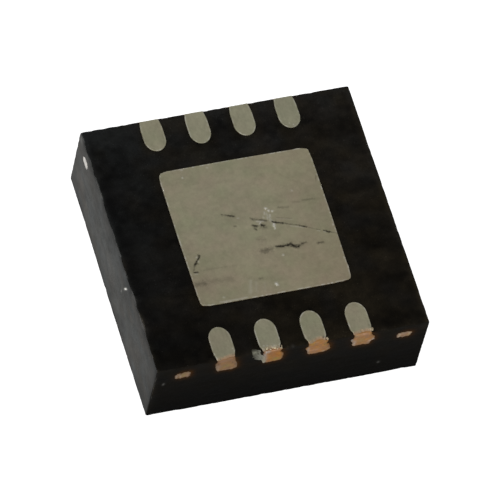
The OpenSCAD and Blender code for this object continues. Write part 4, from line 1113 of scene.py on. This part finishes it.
# Marks on the pad in mm from the middle of the package. Each is a kind, a strength, a half width and the points it runs through.
PAD_MARKS = [
    ("dark", 0.50, 0.0125, [(-0.300, 0.207), (-0.231, 0.181), (-0.175, 0.160)]),
    ("dark", 0.78, 0.0090, [(-0.238, 0.183), (-0.186, 0.164)]),
    ("pale", 0.30, 0.0080, [(-0.150, 0.132), (-0.140, 0.128)]),
    ("dark", 0.42, 0.0120, [(-0.212, 0.045), (-0.198, 0.041)]),
    ("dark", 0.58, 0.0160, [(-0.009, 0.101), (0.021, 0.079)]),
    ("dark", 0.66, 0.0105, [(0.048, 0.074), (0.097, 0.061), (0.147, 0.041)]),
    ("dark", 0.92, 0.0135, [(-0.013, 0.011), (0.025, -0.003)]),
    ("dark", 0.66, 0.0115, [(-0.004, -0.025), (0.009, -0.047)]),
    ("dark", 0.96, 0.0160, [(0.079, -0.006), (0.105, -0.011)]),
    ("dark", 0.30, 0.0160, [(0.059, -0.029), (0.119, -0.044)]),
    ("pale", 0.58, 0.0095, [(0.060, 0.014), (0.079, 0.037)]),
    ("pale", 0.42, 0.0100, [(0.039, 0.051), (0.109, 0.041)]),
    ("spark", 1.00, 0.0125, [(0.180, 0.188), (0.184, 0.186)]),
    ("spark", 0.85, 0.0120, [(0.200, 0.157), (0.204, 0.154)]),
    ("spark", 0.85, 0.0115, [(0.238, 0.142), (0.243, 0.139)]),
    ("spark", 0.45, 0.0085, [(0.154, 0.146), (0.147, 0.122)]),
    ("spark", 0.60, 0.0095, [(0.204, 0.100), (0.198, 0.086)]),
    ("spark", 0.40, 0.0090, [(0.165, 0.074), (0.163, 0.060)]),
    ("spark", 0.40, 0.0090, [(0.185, 0.046), (0.183, 0.033)]),
    ("spark", 0.30, 0.0090, [(0.122, 0.091), (0.129, 0.080)]),
    ("pale", 0.30, 0.0160, [(0.168, 0.120), (0.189, 0.060), (0.204, 0.011)]),
    ("spark", 1.00, 0.0125, [(0.212, -0.013), (0.211, -0.037)]),
    ("spark", 0.75, 0.0090, [(0.210, -0.049), (0.211, -0.071)]),
    ("dark", 0.98, 0.0092, [(0.205, 0.019), (0.213, 0.009)]),
    ("dark", 1.00, 0.0112, [(0.223, 0.006), (0.268, -0.008), (0.312, -0.023)]),
    ("dark", 0.52, 0.0075, [(0.312, -0.023), (0.382, -0.050), (0.457, -0.077), (0.475, -0.085)]),
    ("dark", 0.90, 0.0105, [(0.478, -0.087), (0.543, -0.115)]),
    ("dark", 0.35, 0.0050, [(0.539, -0.113), (0.599, -0.145), (0.654, -0.170)]),
    ("dark", 0.30, 0.0060, [(0.652, -0.171), (0.677, -0.180)]),
    ("dark", 0.78, 0.0070, [(0.713, -0.197), (0.749, -0.218), (0.786, -0.232)]),
    ("dark", 1.00, 0.0110, [(0.741, -0.214), (0.761, -0.226)]),
    ("dark", 0.45, 0.0040, [(0.786, -0.232), (0.849, -0.259)]),
    ("pale", 0.32, 0.0050, [(0.378, -0.071), (0.446, -0.095), (0.513, -0.121)]),
    ("pale", 0.30, 0.0050, [(0.647, -0.185), (0.673, -0.194)]),
    ("pale", 0.30, 0.0050, [(0.709, -0.210), (0.733, -0.224)]),
    ("dark", 0.22, 0.0060, [(0.260, 0.054), (0.338, 0.036), (0.417, 0.014)]),
    ("pale", 0.16, 0.0040, [(0.260, 0.044), (0.338, 0.026), (0.417, 0.003)]),
    ("dark", 0.40, 0.0300, [(-0.004, -0.312), (0.039, -0.311), (0.092, -0.302)]),
    ("dark", 0.34, 0.0240, [(0.022, -0.322), (0.052, -0.320)]),
    ("dark", 0.34, 0.0230, [(0.169, -0.294), (0.291, -0.301), (0.399, -0.325), (0.439, -0.311)]),
    ("dark", 0.98, 0.0115, [(0.159, -0.282), (0.191, -0.289), (0.235, -0.293)]),
    ("dark", 0.75, 0.0090, [(0.235, -0.293), (0.289, -0.295)]),
    ("dark", 1.00, 0.0145, [(0.289, -0.294), (0.321, -0.285)]),
    ("dark", 1.00, 0.0160, [(0.321, -0.299), (0.356, -0.323), (0.387, -0.333)]),
    ("dark", 0.55, 0.0110, [(0.387, -0.333), (0.439, -0.307), (0.488, -0.298)]),
    ("dark", 0.55, 0.0120, [(0.607, -0.334), (0.638, -0.332), (0.668, -0.334)]),
    ("dark", 0.62, 0.0085, [(-0.688, -0.219), (-0.679, -0.232)]),
    ("dark", 0.96, 0.0110, [(-0.676, -0.234), (-0.682, -0.245)]),
    ("dark", 0.86, 0.0080, [(-0.684, -0.248), (-0.701, -0.270), (-0.722, -0.292), (-0.738, -0.311)]),
    ("dark", 1.00, 0.0130, [(-0.736, -0.308), (-0.749, -0.330)]),
    ("dark", 0.55, 0.0075, [(-0.737, -0.318), (-0.716, -0.331)]),
    ("dark", 0.45, 0.0085, [(-0.753, -0.336), (-0.766, -0.360), (-0.778, -0.388)]),
    ("dark", 0.88, 0.0115, [(-0.787, -0.418), (-0.747, -0.424)]),
    ("dark", 0.28, 0.0080, [(-0.787, -0.392), (-0.797, -0.412)]),
    ("pale", 0.45, 0.0090, [(-0.712, -0.245), (-0.710, -0.249)]),
    ("pale", 0.36, 0.0080, [(-0.709, -0.292), (-0.703, -0.305)]),
    ("pale", 0.30, 0.0070, [(-0.782, -0.442), (-0.757, -0.444)]),
    ("dark", 0.34, 0.0260, [(-0.805, -0.563), (-0.722, -0.568)]),
    ("dark", 0.19, 0.0340, [(-0.722, -0.568), (-0.599, -0.564), (-0.426, -0.575)]),
    ("dark", 0.14, 0.0150, [(-0.697, -0.417), (-0.518, -0.412), (-0.329, -0.427)]),
    ("dark", 0.32, 0.0120, [(0.316, 0.176), (0.419, 0.158)]),
    ("dark", 0.22, 0.0110, [(0.489, 0.207), (0.551, 0.195)]),
    ("dark", 0.34, 0.0120, [(0.598, 0.210), (0.723, 0.202)]),
    ("dark", 0.24, 0.0260, [(-0.008, -0.159), (0.056, -0.168)]),
    ("dark", 0.36, 0.0120, [(-0.124, -0.628), (-0.094, -0.632)]),
    ("dark", 0.40, 0.0045, [(0.833, 0.486), (0.817, 0.446), (0.808, 0.410)]),
    ("spark", 0.50, 0.0110, [(0.199, -0.399), (0.203, -0.403)]),
    ("spark", 0.38, 0.0110, [(0.517, 0.347), (0.519, 0.343)]),
    ("spark", 1.00, 0.0160, [(0.031, -0.728), (0.033, -0.736)]),
    ("spark", 0.50, 0.0090, [(-0.586, 0.733), (-0.584, 0.727)]),
    ("spark", 0.32, 0.0090, [(-0.297, 0.803), (-0.289, 0.799)]),
    ("spark", 0.34, 0.0090, [(-0.579, 0.828), (-0.561, 0.825)]),
    ("spark", 0.50, 0.0080, [(0.833, -0.140), (0.835, -0.150)]),
    ("spark", 0.50, 0.0080, [(0.832, -0.555), (0.834, -0.565)]),
    ("spark", 0.35, 0.0080, [(-0.569, -0.772), (-0.559, -0.776)]),
    ("pale", 0.36, 0.0085, [(-0.617, -0.824), (-0.517, -0.826), (-0.417, -0.828), (-0.318, -0.824)]),
    ("pale", 0.16, 0.0190, [(-0.229, -0.640), (-0.267, -0.778)]),
    ("pale", 0.09, 0.0170, [(-0.176, -0.663), (-0.203, -0.770)]),
    ("pale", 0.06, 0.0160, [(-0.089, -0.687), (-0.109, -0.787)]),
]


def build_pad_tin():
    n = 297
    r = PAD_R + GROW
    hx, hy = PADX + GROW, PADY + GROW
    fine = np.array([0, 0.0016, 0.0034, 0.0056, 0.0085, 0.012, 0.0165])

    def line(h):
        inner = np.linspace(-h + fine[-1], h - fine[-1], n - 2 * (len(fine) - 1) + 1)
        return np.r_[-h + fine[:-1], inner, (h - fine[:-1])[::-1]]

    X, Y = np.meshgrid(line(hx), line(hy), indexing="ij")
    # the four corners are drawn in to a quarter circle
    ax = np.clip(np.abs(X) - (hx - r), 0, None) / r
    ay = np.clip(np.abs(Y) - (hy - r), 0, None) / r
    big = np.maximum(ax, ay)
    ang = np.where(ax >= ay, ay / np.maximum(ax, 1e-9), 2 - ax / np.maximum(ay, 1e-9)) * (math.pi / 4)
    corner = (ax > 0) & (ay > 0)
    X = np.where(corner, np.sign(X) * (hx - r + r * big * np.cos(ang)), X)
    Y = np.where(corner, np.sign(Y) * (hy - r + r * big * np.sin(ang)), Y)
    x, y = X.ravel(), Y.ravel()
    qx, qy = np.abs(x) - (hx - r), np.abs(y) - (hy - r)
    d = r - np.hypot(np.clip(qx, 0, None), np.clip(qy, 0, None)) - np.minimum(np.maximum(qx, qy), 0)
    d = np.clip(d, 0, None)
    idx = np.arange((n + 1) ** 2).reshape(n + 1, n + 1)
    ring = idx[:, 0].tolist() + idx[-1, 1:].tolist() + idx[-2::-1, -1].tolist() + idx[0, -2:0:-1].tolist()
    d[ring] = 0.0
    # the outline is drawn out to the pad's own corners, and the pad set in its place
    angle, far = np.arctan2(y, x), np.hypot(x, y)
    ideal = ray_radius(angle, round_rect(hx, hy, r, 40))
    part = np.clip(far / np.maximum(ideal, 1e-9), 0, 1)
    part[ring] = 1.0
    pull = 1 + (ray_radius(angle, pad_outline(GROW)) / np.maximum(ideal, 1e-9) - 1) * smooth((part - 0.75) / 0.25)
    x, y = x * pull + SET_X, y * pull + SET_Y
    rise = np.sqrt(np.clip(1 - (1 - np.clip(d / 0.0065, 0, 1)) ** 2, 0, 1))
    z = TOP + 0.0022 + (TIN - 0.0022) * rise
    z += 0.0010 * bump(d - 0.012, 0.007) * (0.8 + 0.6 * noise(x / 0.05, y / 0.05, seed=31))
    inner = smooth(d / 0.006)
    z += inner * (0.00055 * noise(x / 0.018, y / 0.018, seed=32) + 0.00022 * noise(x / 0.010, y / 0.014, seed=33)
                  + 0.0012 * fbm(x / 0.35, y / 0.45, seed=34))
    dark = 0.05 * np.clip(fbm(x / 0.20, y / 0.16, seed=35), 0, 1)
    dots = np.clip(0.45 + 0.9 * noise(x / 0.022, y / 0.022, seed=36) + 0.3 * noise(x / 0.09, y / 0.09, seed=37), 0, 1.3)
    pale = 0.50 * bump(d - 0.0078, 0.0072) * dots
    shade = 0.985 - 0.050 * np.exp(-(hx - np.abs(x)) / 0.15) - 0.040 * smooth(-y / 0.8) - 0.055 * np.exp(-((x + 0.78) ** 2 + (y + 0.6) ** 2) / 0.35 ** 2) - 0.052 * smooth((x - 0.2) / 0.5) * smooth((0.90 - y) / 0.75)
    shade *= 1 + 0.075 * fbm(x / 0.18, y / 0.13, seed=39) + 0.055 * noise(x / 0.045, y / 0.040, seed=40) + 0.035 * noise(x / 0.018, y / 0.018, seed=38)
    tone = 0.5 * shade
    rag = 1 + 0.40 * noise(x / 0.011, y / 0.011, seed=41)
    rough = 1 + 0.45 * noise(x / 0.020, y / 0.014, seed=42)
    for k, (kind, g, w, pts) in enumerate(PAD_MARKS):
        lo = np.min(pts, 0) - 4 * w
        hi = np.max(pts, 0) + 4 * w
        near = (x > lo[0]) & (x < hi[0]) & (y > lo[1]) & (y < hi[1])
        if not near.any():
            continue
        dist = segment_distance(x[near], y[near], pts)
        m = bump(dist, w * rag[near] * (1.0 if kind != "dark" else 1.05))
        if kind == "dark":
            m = g * m * np.clip(rough[near], 0.45, 1.4)
            dark[near] = 1 - (1 - dark[near]) * (1 - np.clip(m, 0, 1))
            z[near] -= 0.0026 * m * inner[near]
            z[near] += 0.0011 * g * bump(dist - 1.9 * w, 0.8 * w) * inner[near] * (g > 0.4)
        else:
            m = g * m
            pale[near] = np.maximum(pale[near], m)
            if kind == "spark":
                z[near] += 0.0072 * m * inner[near]
    verts = np.c_[x, y, z]
    k = len(ring)
    base = len(verts)
    verts = np.vstack([verts, np.c_[x[ring], y[ring], np.full(k, TOP)]])
    q = np.stack([idx[:-1, :-1], idx[1:, :-1], idx[1:, 1:], idx[:-1, 1:]], -1).reshape(-1, 4).tolist()
    q += [[ring[i], base + i, base + (i + 1) % k, ring[(i + 1) % k]] for i in range(k)]
    q.append([base + i for i in range(k - 1, -1, -1)])
    look = np.zeros((len(verts), 3))
    look[:base] = np.c_[dark, pale, tone]
    look[base:] = (0, 0.1, 0.5)
    obj = make_object("pad_plating", verts, q)
    set_colour(obj, "look", look)
    two = np.zeros((len(verts), 3))
    two[:base, 0] = 0.07 * smooth((x + 0.1) / 0.7) + 0.07 * smooth((0.1 - y) / 0.7)
    set_colour(obj, "look_two", two)
    return obj


# ------------------------------------------------------------------ materials


class Shade:
    """A few words for building node materials."""

    def __init__(self, name):
        self.m = bpy.data.materials.new(name)
        self.m.use_nodes = True
        self.t = self.m.node_tree
        self.b = self.t.nodes["Principled BSDF"]
        tc = self.t.nodes.new("ShaderNodeTexCoord")
        self.p = self.vec("SCALE", tc.outputs["Object"], scale=1000.0)

    def put(self, socket, value):
        if isinstance(value, bpy.types.NodeSocket):
            self.t.links.new(value, socket)
        else:
            socket.default_value = value

    def vec(self, op, a, b=None, scale=None):
        n = self.t.nodes.new("ShaderNodeVectorMath")
        n.operation = op
        self.put(n.inputs[0], a)
        if b is not None:
            self.put(n.inputs[1], b)
        if scale is not None:
            self.put(n.inputs["Scale"], scale)
        return n.outputs[0]

    def math(self, op, a, b=0.0, c=0.0, clamp=False):
        n = self.t.nodes.new("ShaderNodeMath")
        n.operation = op
        n.use_clamp = clamp
        for i, v in enumerate((a, b, c)):
            self.put(n.inputs[i], v)
        return n.outputs[0]

    def noise(self, scale, detail=2.0, rough=0.5, stretch=None, seed=0.0):
        n = self.t.nodes.new("ShaderNodeTexNoise")
        p = self.p
        if stretch is not None:
            p = self.vec("MULTIPLY", p, stretch)
        if seed:
            p = self.vec("ADD", p, (seed, 0.37 * seed, 1.71 * seed))
        self.put(n.inputs["Vector"], p)
        n.inputs["Scale"].default_value = scale
        n.inputs["Detail"].default_value = detail
        n.inputs["Roughness"].default_value = rough
        return n.outputs["Fac"]

    def cells(self, scale, out="Distance", seed=0.0):
        n = self.t.nodes.new("ShaderNodeTexVoronoi")
        p = self.vec("ADD", self.p, (seed, seed, seed)) if seed else self.p
        self.put(n.inputs["Vector"], p)
        n.inputs["Scale"].default_value = scale
        return n.outputs[out]

    def ramp(self, fac, *stops):
        n = self.t.nodes.new("ShaderNodeValToRGB")
        e = n.color_ramp.elements
        while len(e) < len(stops):
            e.new(0.5)
        for i, (pos, col) in enumerate(stops):
            e[i].position = pos
            e[i].color = (col, col, col, 1) if isinstance(col, float) else (*col, 1)
        self.put(n.inputs[0], fac)
        return n.outputs[0]

    def mix(self, fac, a, b, blend="MIX"):
        n = self.t.nodes.new("ShaderNodeMix")
        n.data_type = "RGBA"
        n.blend_type = blend
        n.clamp_factor = True
        self.put(n.inputs["Factor"], fac)
        for key, v in (("A", a), ("B", b)):
            s = [i for i in n.inputs if i.name == key and i.type == "RGBA"][0]
            self.put(s, (*v, 1) if isinstance(v, tuple) and len(v) == 3 else v)
        return [o for o in n.outputs if o.type == "RGBA"][0]

    def look(self, name="look"):
        n = self.t.nodes.new("ShaderNodeAttribute")
        n.attribute_name = name
        s = self.t.nodes.new("ShaderNodeSeparateColor")
        self.put(s.inputs[0], n.outputs["Color"])
        return s.outputs[0], s.outputs[1], s.outputs[2]

    def bumps(self, height, strength, distance_um):
        n = self.t.nodes.new("ShaderNodeBump")
        n.inputs["Strength"].default_value = strength
        n.inputs["Distance"].default_value = distance_um * 1e-6
        self.put(n.inputs["Height"], height)
        self.put(self.b.inputs["Normal"], n.outputs[0])


def mould_material():
    s = Shade("mould_compound")
    tone, fleck, sawn = s.look()
    warm, cool, dust = s.look("look_two")
    mottle = s.noise(2.6, 3.0, 0.55)
    grain = s.noise(46.0, 3.0, 0.6, seed=3.1)
    streak = s.noise(1.0, 3.0, 0.6, stretch=(1.3, 1.3, 46.0), seed=7.7)
    cell = s.cells(38.0, "Distance", 1.3)
    pick = s.cells(38.0, "Color", 1.3)
    sep = s.t.nodes.new("ShaderNodeSeparateColor")
    s.put(sep.inputs[0], pick)
    filler = s.math("MULTIPLY", s.ramp(cell, (0.10, 1.0), (0.30, 0.0)), s.ramp(sep.outputs[0], (0.72, 0.0), (0.98, 1.0)))
    base = s.ramp(mottle, (0.30, (0.0064, 0.0058, 0.0048)), (0.70, (0.0092, 0.0084, 0.0074)))
    base = s.mix(s.ramp(grain, (0.35, 0.0), (0.75, 0.55)), base, (0.0150, 0.0140, 0.0126))
    base = s.mix(s.math("MULTIPLY", s.ramp(streak, (0.35, 0.0), (0.70, 0.60)), sawn), base, (0.0140, 0.0137, 0.0128))
    base = s.mix(s.math("MULTIPLY", filler, 0.26), base, (0.060, 0.058, 0.054))
    gain = s.math("MULTIPLY", tone, 2.0)
    base = s.mix(1.0, base, s.ramp(s.math("MULTIPLY", gain, 0.5), (0.0, 0.0), (1.0, 1.0)), "MULTIPLY")
    base = s.vec("SCALE", base, scale=2.0)
    base = s.mix(warm, base, s.vec("MULTIPLY", base, (1.18, 1.0, 0.65)))
    base = s.mix(cool, base, s.vec("MULTIPLY", base, (0.86, 1.0, 1.12)))
    base = s.mix(dust, base, (0.088, 0.033, 0.004))
    base = s.mix(fleck, base, (0.42, 0.41, 0.38))
    s.put(s.b.inputs["Base Color"], base)
    s.put(s.b.inputs["Roughness"], s.math("MULTIPLY_ADD", grain, 0.30, 0.50))
    s.b.inputs["Specular IOR Level"].default_value = 0.04
    h = s.math("ADD", s.math("MULTIPLY", grain, 0.8), s.math("MULTIPLY", s.math("MULTIPLY", streak, sawn), 1.2))
    h = s.math("ADD", h, s.math("MULTIPLY", filler, 0.5))
    s.bumps(h, 0.55, 2.4)
    return s.m


def tin_material():
    s = Shade("matt_tin")
    dark, pale, tone = s.look()
    tint, smear, green = s.look("look_two")
    blot = s.noise(3.4, 3.0, 0.55, seed=2.2)
    hue = s.noise(4.3, 2.0, 0.5, seed=9.4)
    brush = s.noise(1.0, 3.0, 0.6, stretch=(26.0, 2.4, 3.0), seed=4.4)
    grain = s.noise(85.0, 2.0, 0.6, seed=5.5)
    base = s.mix(s.ramp(hue, (0.32, 0.0), (0.68, 1.0)), (0.492, 0.488, 0.318), (0.560, 0.488, 0.352))
    base = s.mix(s.ramp(blot, (0.30, 0.0), (0.72, 0.50)), base, (0.572, 0.530, 0.374))
    base = s.mix(s.math("MULTIPLY", green, 0.9), base, (0.510, 0.505, 0.360))
    base = s.mix(s.ramp(brush, (0.30, 0.08), (0.60, 0.0)), base, (0.440, 0.410, 0.280))
    base = s.mix(s.ramp(grain, (0.30, 0.30), (0.55, 0.0)), base, (0.430, 0.402, 0.275))
    base = s.vec("SCALE", base, scale=s.math("MULTIPLY", tone, 2.0))
    base = s.mix(s.math("MULTIPLY", tint, 0.95), base, (0.65, 0.420, 0.255))
    base = s.mix(smear, base, (0.385, 0.385, 0.305))
    base = s.mix(pale, base, (0.96, 0.93, 0.84))
    base = s.mix(dark, base, (0.024, 0.020, 0.012))
    s.put(s.b.inputs["Base Color"], base)
    s.put(s.b.inputs["Metallic"], s.math("SUBTRACT", 1.0, s.math("MULTIPLY", dark, 0.75), clamp=True))
    rough = s.math("MULTIPLY_ADD", grain, 0.22, 0.38)
    rough = s.math("ADD", rough, s.math("MULTIPLY", dark, 0.22))
    s.put(s.b.inputs["Roughness"], s.math("SUBTRACT", rough, s.math("MULTIPLY", pale, 0.10), clamp=True))
    s.b.inputs["Specular IOR Level"].default_value = 0.15
    s.bumps(s.math("ADD", grain, s.math("MULTIPLY", brush, 0.7)), 0.40, 1.6)
    return s.m


def copper_material():
    s = Shade("sawn_copper")
    pale, dark, core = s.look()
    olive, pink, white = s.look("look_two")
    tone = s.look("look_three")[0]
    drag = s.noise(1.0, 3.0, 0.6, stretch=(9.0, 9.0, 38.0), seed=3.3)
    grain = s.noise(70.0, 2.0, 0.6, seed=6.1)
    base = s.mix(core, (0.62, 0.350, 0.160), (0.86, 0.360, 0.080))
    base = s.mix(olive, base, (0.67, 0.495, 0.115))
    base = s.mix(pink, base, (0.84, 0.480, 0.280))
    base = s.mix(s.ramp(drag, (0.30, 0.30), (0.60, 0.0)), base, (0.46, 0.245, 0.092))
    base = s.mix(s.ramp(grain, (0.30, 0.30), (0.52, 0.0)), base, (0.44, 0.215, 0.078))
    base = s.mix(pale, base, (0.92, 0.790, 0.600))
    base = s.mix(white, base, (0.74, 0.72, 0.68))
    base = s.vec("SCALE", base, scale=s.math("MULTIPLY", tone, 2.0))
    base = s.mix(dark, base, (0.115, 0.036, 0.008))
    s.put(s.b.inputs["Base Color"], base)
    s.b.inputs["Metallic"].default_value = 1.0
    s.put(s.b.inputs["Roughness"], s.math("MULTIPLY_ADD", grain, 0.25, 0.38))
    s.bumps(s.math("ADD", grain, drag), 0.45, 1.6)
    return s.m


def plain_material(name, dark_rgb, light_rgb, metallic, rough, scale, bump_um):
    """For the sealed inner pieces: grain, colour variation and a fine surface."""
    s = Shade(name)
    a = s.noise(scale, 4.0, 0.55)
    g = s.noise(scale * 9, 2.0, 0.6, seed=4.0)
    base = s.mix(s.ramp(a, (0.30, 0.0), (0.70, 1.0)), dark_rgb, light_rgb)
    base = s.mix(s.ramp(g, (0.35, 0.35), (0.60, 0.0)), base, tuple(c * 0.7 for c in dark_rgb))
    s.put(s.b.inputs["Base Color"], base)
    s.b.inputs["Metallic"].default_value = metallic
    s.put(s.b.inputs["Roughness"], s.math("MULTIPLY_ADD", g, 0.3, rough))
    s.bumps(g, 0.4, bump_um)
    return s.m


# ------------------------------------------------------------------ build

mould_mat, tin_mat, copper_mat = mould_material(), tin_material(), copper_material()
all_pieces = []

mould = build_mould()
all_pieces.append(finish_piece(mould, ["mould_body"], mould_mat))
pad_copper = build_pad_copper()
all_pieces.append(finish_piece(pad_copper, ["thermal_pad"], copper_mat))
pad_tin = build_pad_tin()
all_pieces.append(finish_piece(pad_tin, ["thermal_pad_tin"], tin_mat))
for n in range(1, 9):
    all_pieces.append(finish_piece(build_lead(n), ["lead_%d" % n], copper_mat))
    all_pieces.append(finish_piece(build_plating(n), ["lead_%d_tin" % n], tin_mat))

silicon = plain_material("silicon", (0.060, 0.066, 0.085), (0.115, 0.120, 0.150), 0.6, 0.15, 6.0, 0.4)
attach = plain_material("silver_epoxy", (0.42, 0.42, 0.40), (0.62, 0.61, 0.58), 0.7, 0.35, 14.0, 1.5)
gold = plain_material("gold_wire", (0.78, 0.50, 0.16), (0.92, 0.66, 0.28), 1.0, 0.18, 20.0, 0.4)
for name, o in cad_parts.items():
    m = {"silicon_die": silicon, "die_attach_epoxy": attach}.get(name, gold if name.startswith("bond_wire") else None)
    if m is not None:
        o.data.materials.clear()
        o.data.materials.append(m)

# ------------------------------------------------------------------ floor, light and camera


def build_floor():
    """A flat sheet that turns up into a low round wall far from the package."""
    radii = [0.0, 4, 8, 14, 24, 40, 60, 80, 96]
    prof = [(r, 0.0) for r in radii]
    for k in range(1, 13):
        a = math.radians(90 * k / 12)
        prof.append((96 + 40 * math.sin(a), 40 * (1 - math.cos(a))))
    prof += [(136, 60.0), (136, 90.0)]
    seg = 96
    verts = [(0.0, 0.0, 0.0)]
    faces = []
    for r, z in prof[1:]:
        for j in range(seg):
            a = 2 * math.pi * j / seg
            verts.append((r * math.cos(a), r * math.sin(a), z))
    for j in range(seg):
        faces.append((0, 1 + j, 1 + (j + 1) % seg))
    for i in range(len(prof) - 2):
        for j in range(seg):
            a, b = 1 + i * seg + j, 1 + i * seg + (j + 1) % seg
            faces.append((a, a + seg, b + seg, b))
    o = make_object("floor", verts, faces)
    o.data.transform(Matrix.Scale(MM, 4))
    o.data.transform(Matrix.Translation((0, 0, -0.000002)))
    o.data.polygons.foreach_set("use_smooth", np.ones(len(o.data.polygons), bool))
    s = bpy.data.materials.new("pale_floor")
    s.use_nodes = True
    b = s.node_tree.nodes["Principled BSDF"]
    b.inputs["Base Color"].default_value = (0.80, 0.80, 0.80, 1)
    b.inputs["Roughness"].default_value = 0.9
    b.inputs["Specular IOR Level"].default_value = 0.0
    b.inputs["Emission Color"].default_value = (1, 1, 1, 1)
    b.inputs["Emission Strength"].default_value = 0.90
    o.data.materials.append(s)
    # the object is lit by the soft light alone, as on a light table with the lamp turned off
    o.visible_diffuse = False
    o.visible_glossy = False
    o.visible_shadow = False
    return o


floor = build_floor()

scene = bpy.context.scene
world = bpy.data.worlds.new("studio")
scene.world = world
world.use_nodes = True
world.node_tree.nodes["Background"].inputs["Color"].default_value = (1, 1, 1, 1)
world.node_tree.nodes["Background"].inputs["Strength"].default_value = 0.40



def lit_group(name, *objects):
    """The only objects that a lamp is to light."""
    group = bpy.data.collections.new(name)
    scene.collection.children.link(group)
    for o in objects:
        group.objects.link(o)
    return group


mould_only = lit_group("lit_mould", mould)
ties_only = lit_group("lit_tie_ends", pad_copper)


def lamp(name, at, size, watts, size_y=None, lit=None, target=(0, 0, 0.46)):
    l = bpy.data.lights.new(name, "AREA")
    l.shape = "RECTANGLE"
    l.size = size * MM
    l.size_y = (size_y or size) * MM
    l.energy = watts
    o = bpy.data.objects.new(name, l)
    scene.collection.objects.link(o)
    at = Vector(at) * MM
    o.location = at
    o.rotation_mode = "QUATERNION"
    o.rotation_quaternion = (Vector(target) * MM - at).to_track_quat("-Z", "Y")
    o.visible_camera = False
    if lit is not None:
        o.light_linking.receiver_collection = lit
    return o


def power(level, distance):
    """Watts that light a facing white surface to the given level at that distance in mm."""
    return level * math.pi ** 2 * (distance * MM) ** 2


lamp("top_softbox", (-30, -25, 70), 50, power(0.14, 80))
lamp("left_strip", (-16, 5.5, 0.2), 8, power(5.6, 17), size_y=2.0, lit=mould_only)
lamp("left_glint", (-16, 5.5, 0.2), 8, power(0.75, 17), size_y=2.0, lit=ties_only)
lamp("right_strip", (20, 3, 0.6), 10, power(1.6, 20), size_y=3.0, lit=mould_only)
lamp("back_strip", (4, 20, 1.0), 10, power(1.0, 20), size_y=3.0, lit=mould_only)

# the camera, fitted to the package's corners and to the corners of its pad
place = np.array([-17.6037, -31.8551, 58.0294])
ahead = np.array([0.2587022, 0.4675302, -0.8452743])
up = np.array([0.1712851, 0.8389937, 0.5164793])
ahead /= np.linalg.norm(ahead)
right = np.cross(ahead, up)
right /= np.linalg.norm(right)
up = np.cross(right, ahead)
cam = bpy.data.cameras.new("camera")
cam.sensor_width = 36.0
cam.lens = 6418.53 / 500 * 36.0
cam.clip_start = 0.001
cam.clip_end = 1.0
cam_obj = bpy.data.objects.new("camera", cam)
scene.collection.objects.link(cam_obj)
cam_obj.matrix_world = Matrix([[right[0], up[0], -ahead[0], place[0] * MM], [right[1], up[1], -ahead[1], place[1] * MM],
                               [right[2], up[2], -ahead[2], place[2] * MM], [0, 0, 0, 1]])
scene.camera = cam_obj
scene.view_settings.view_transform = "Standard"
scene.view_settings.look = "None"
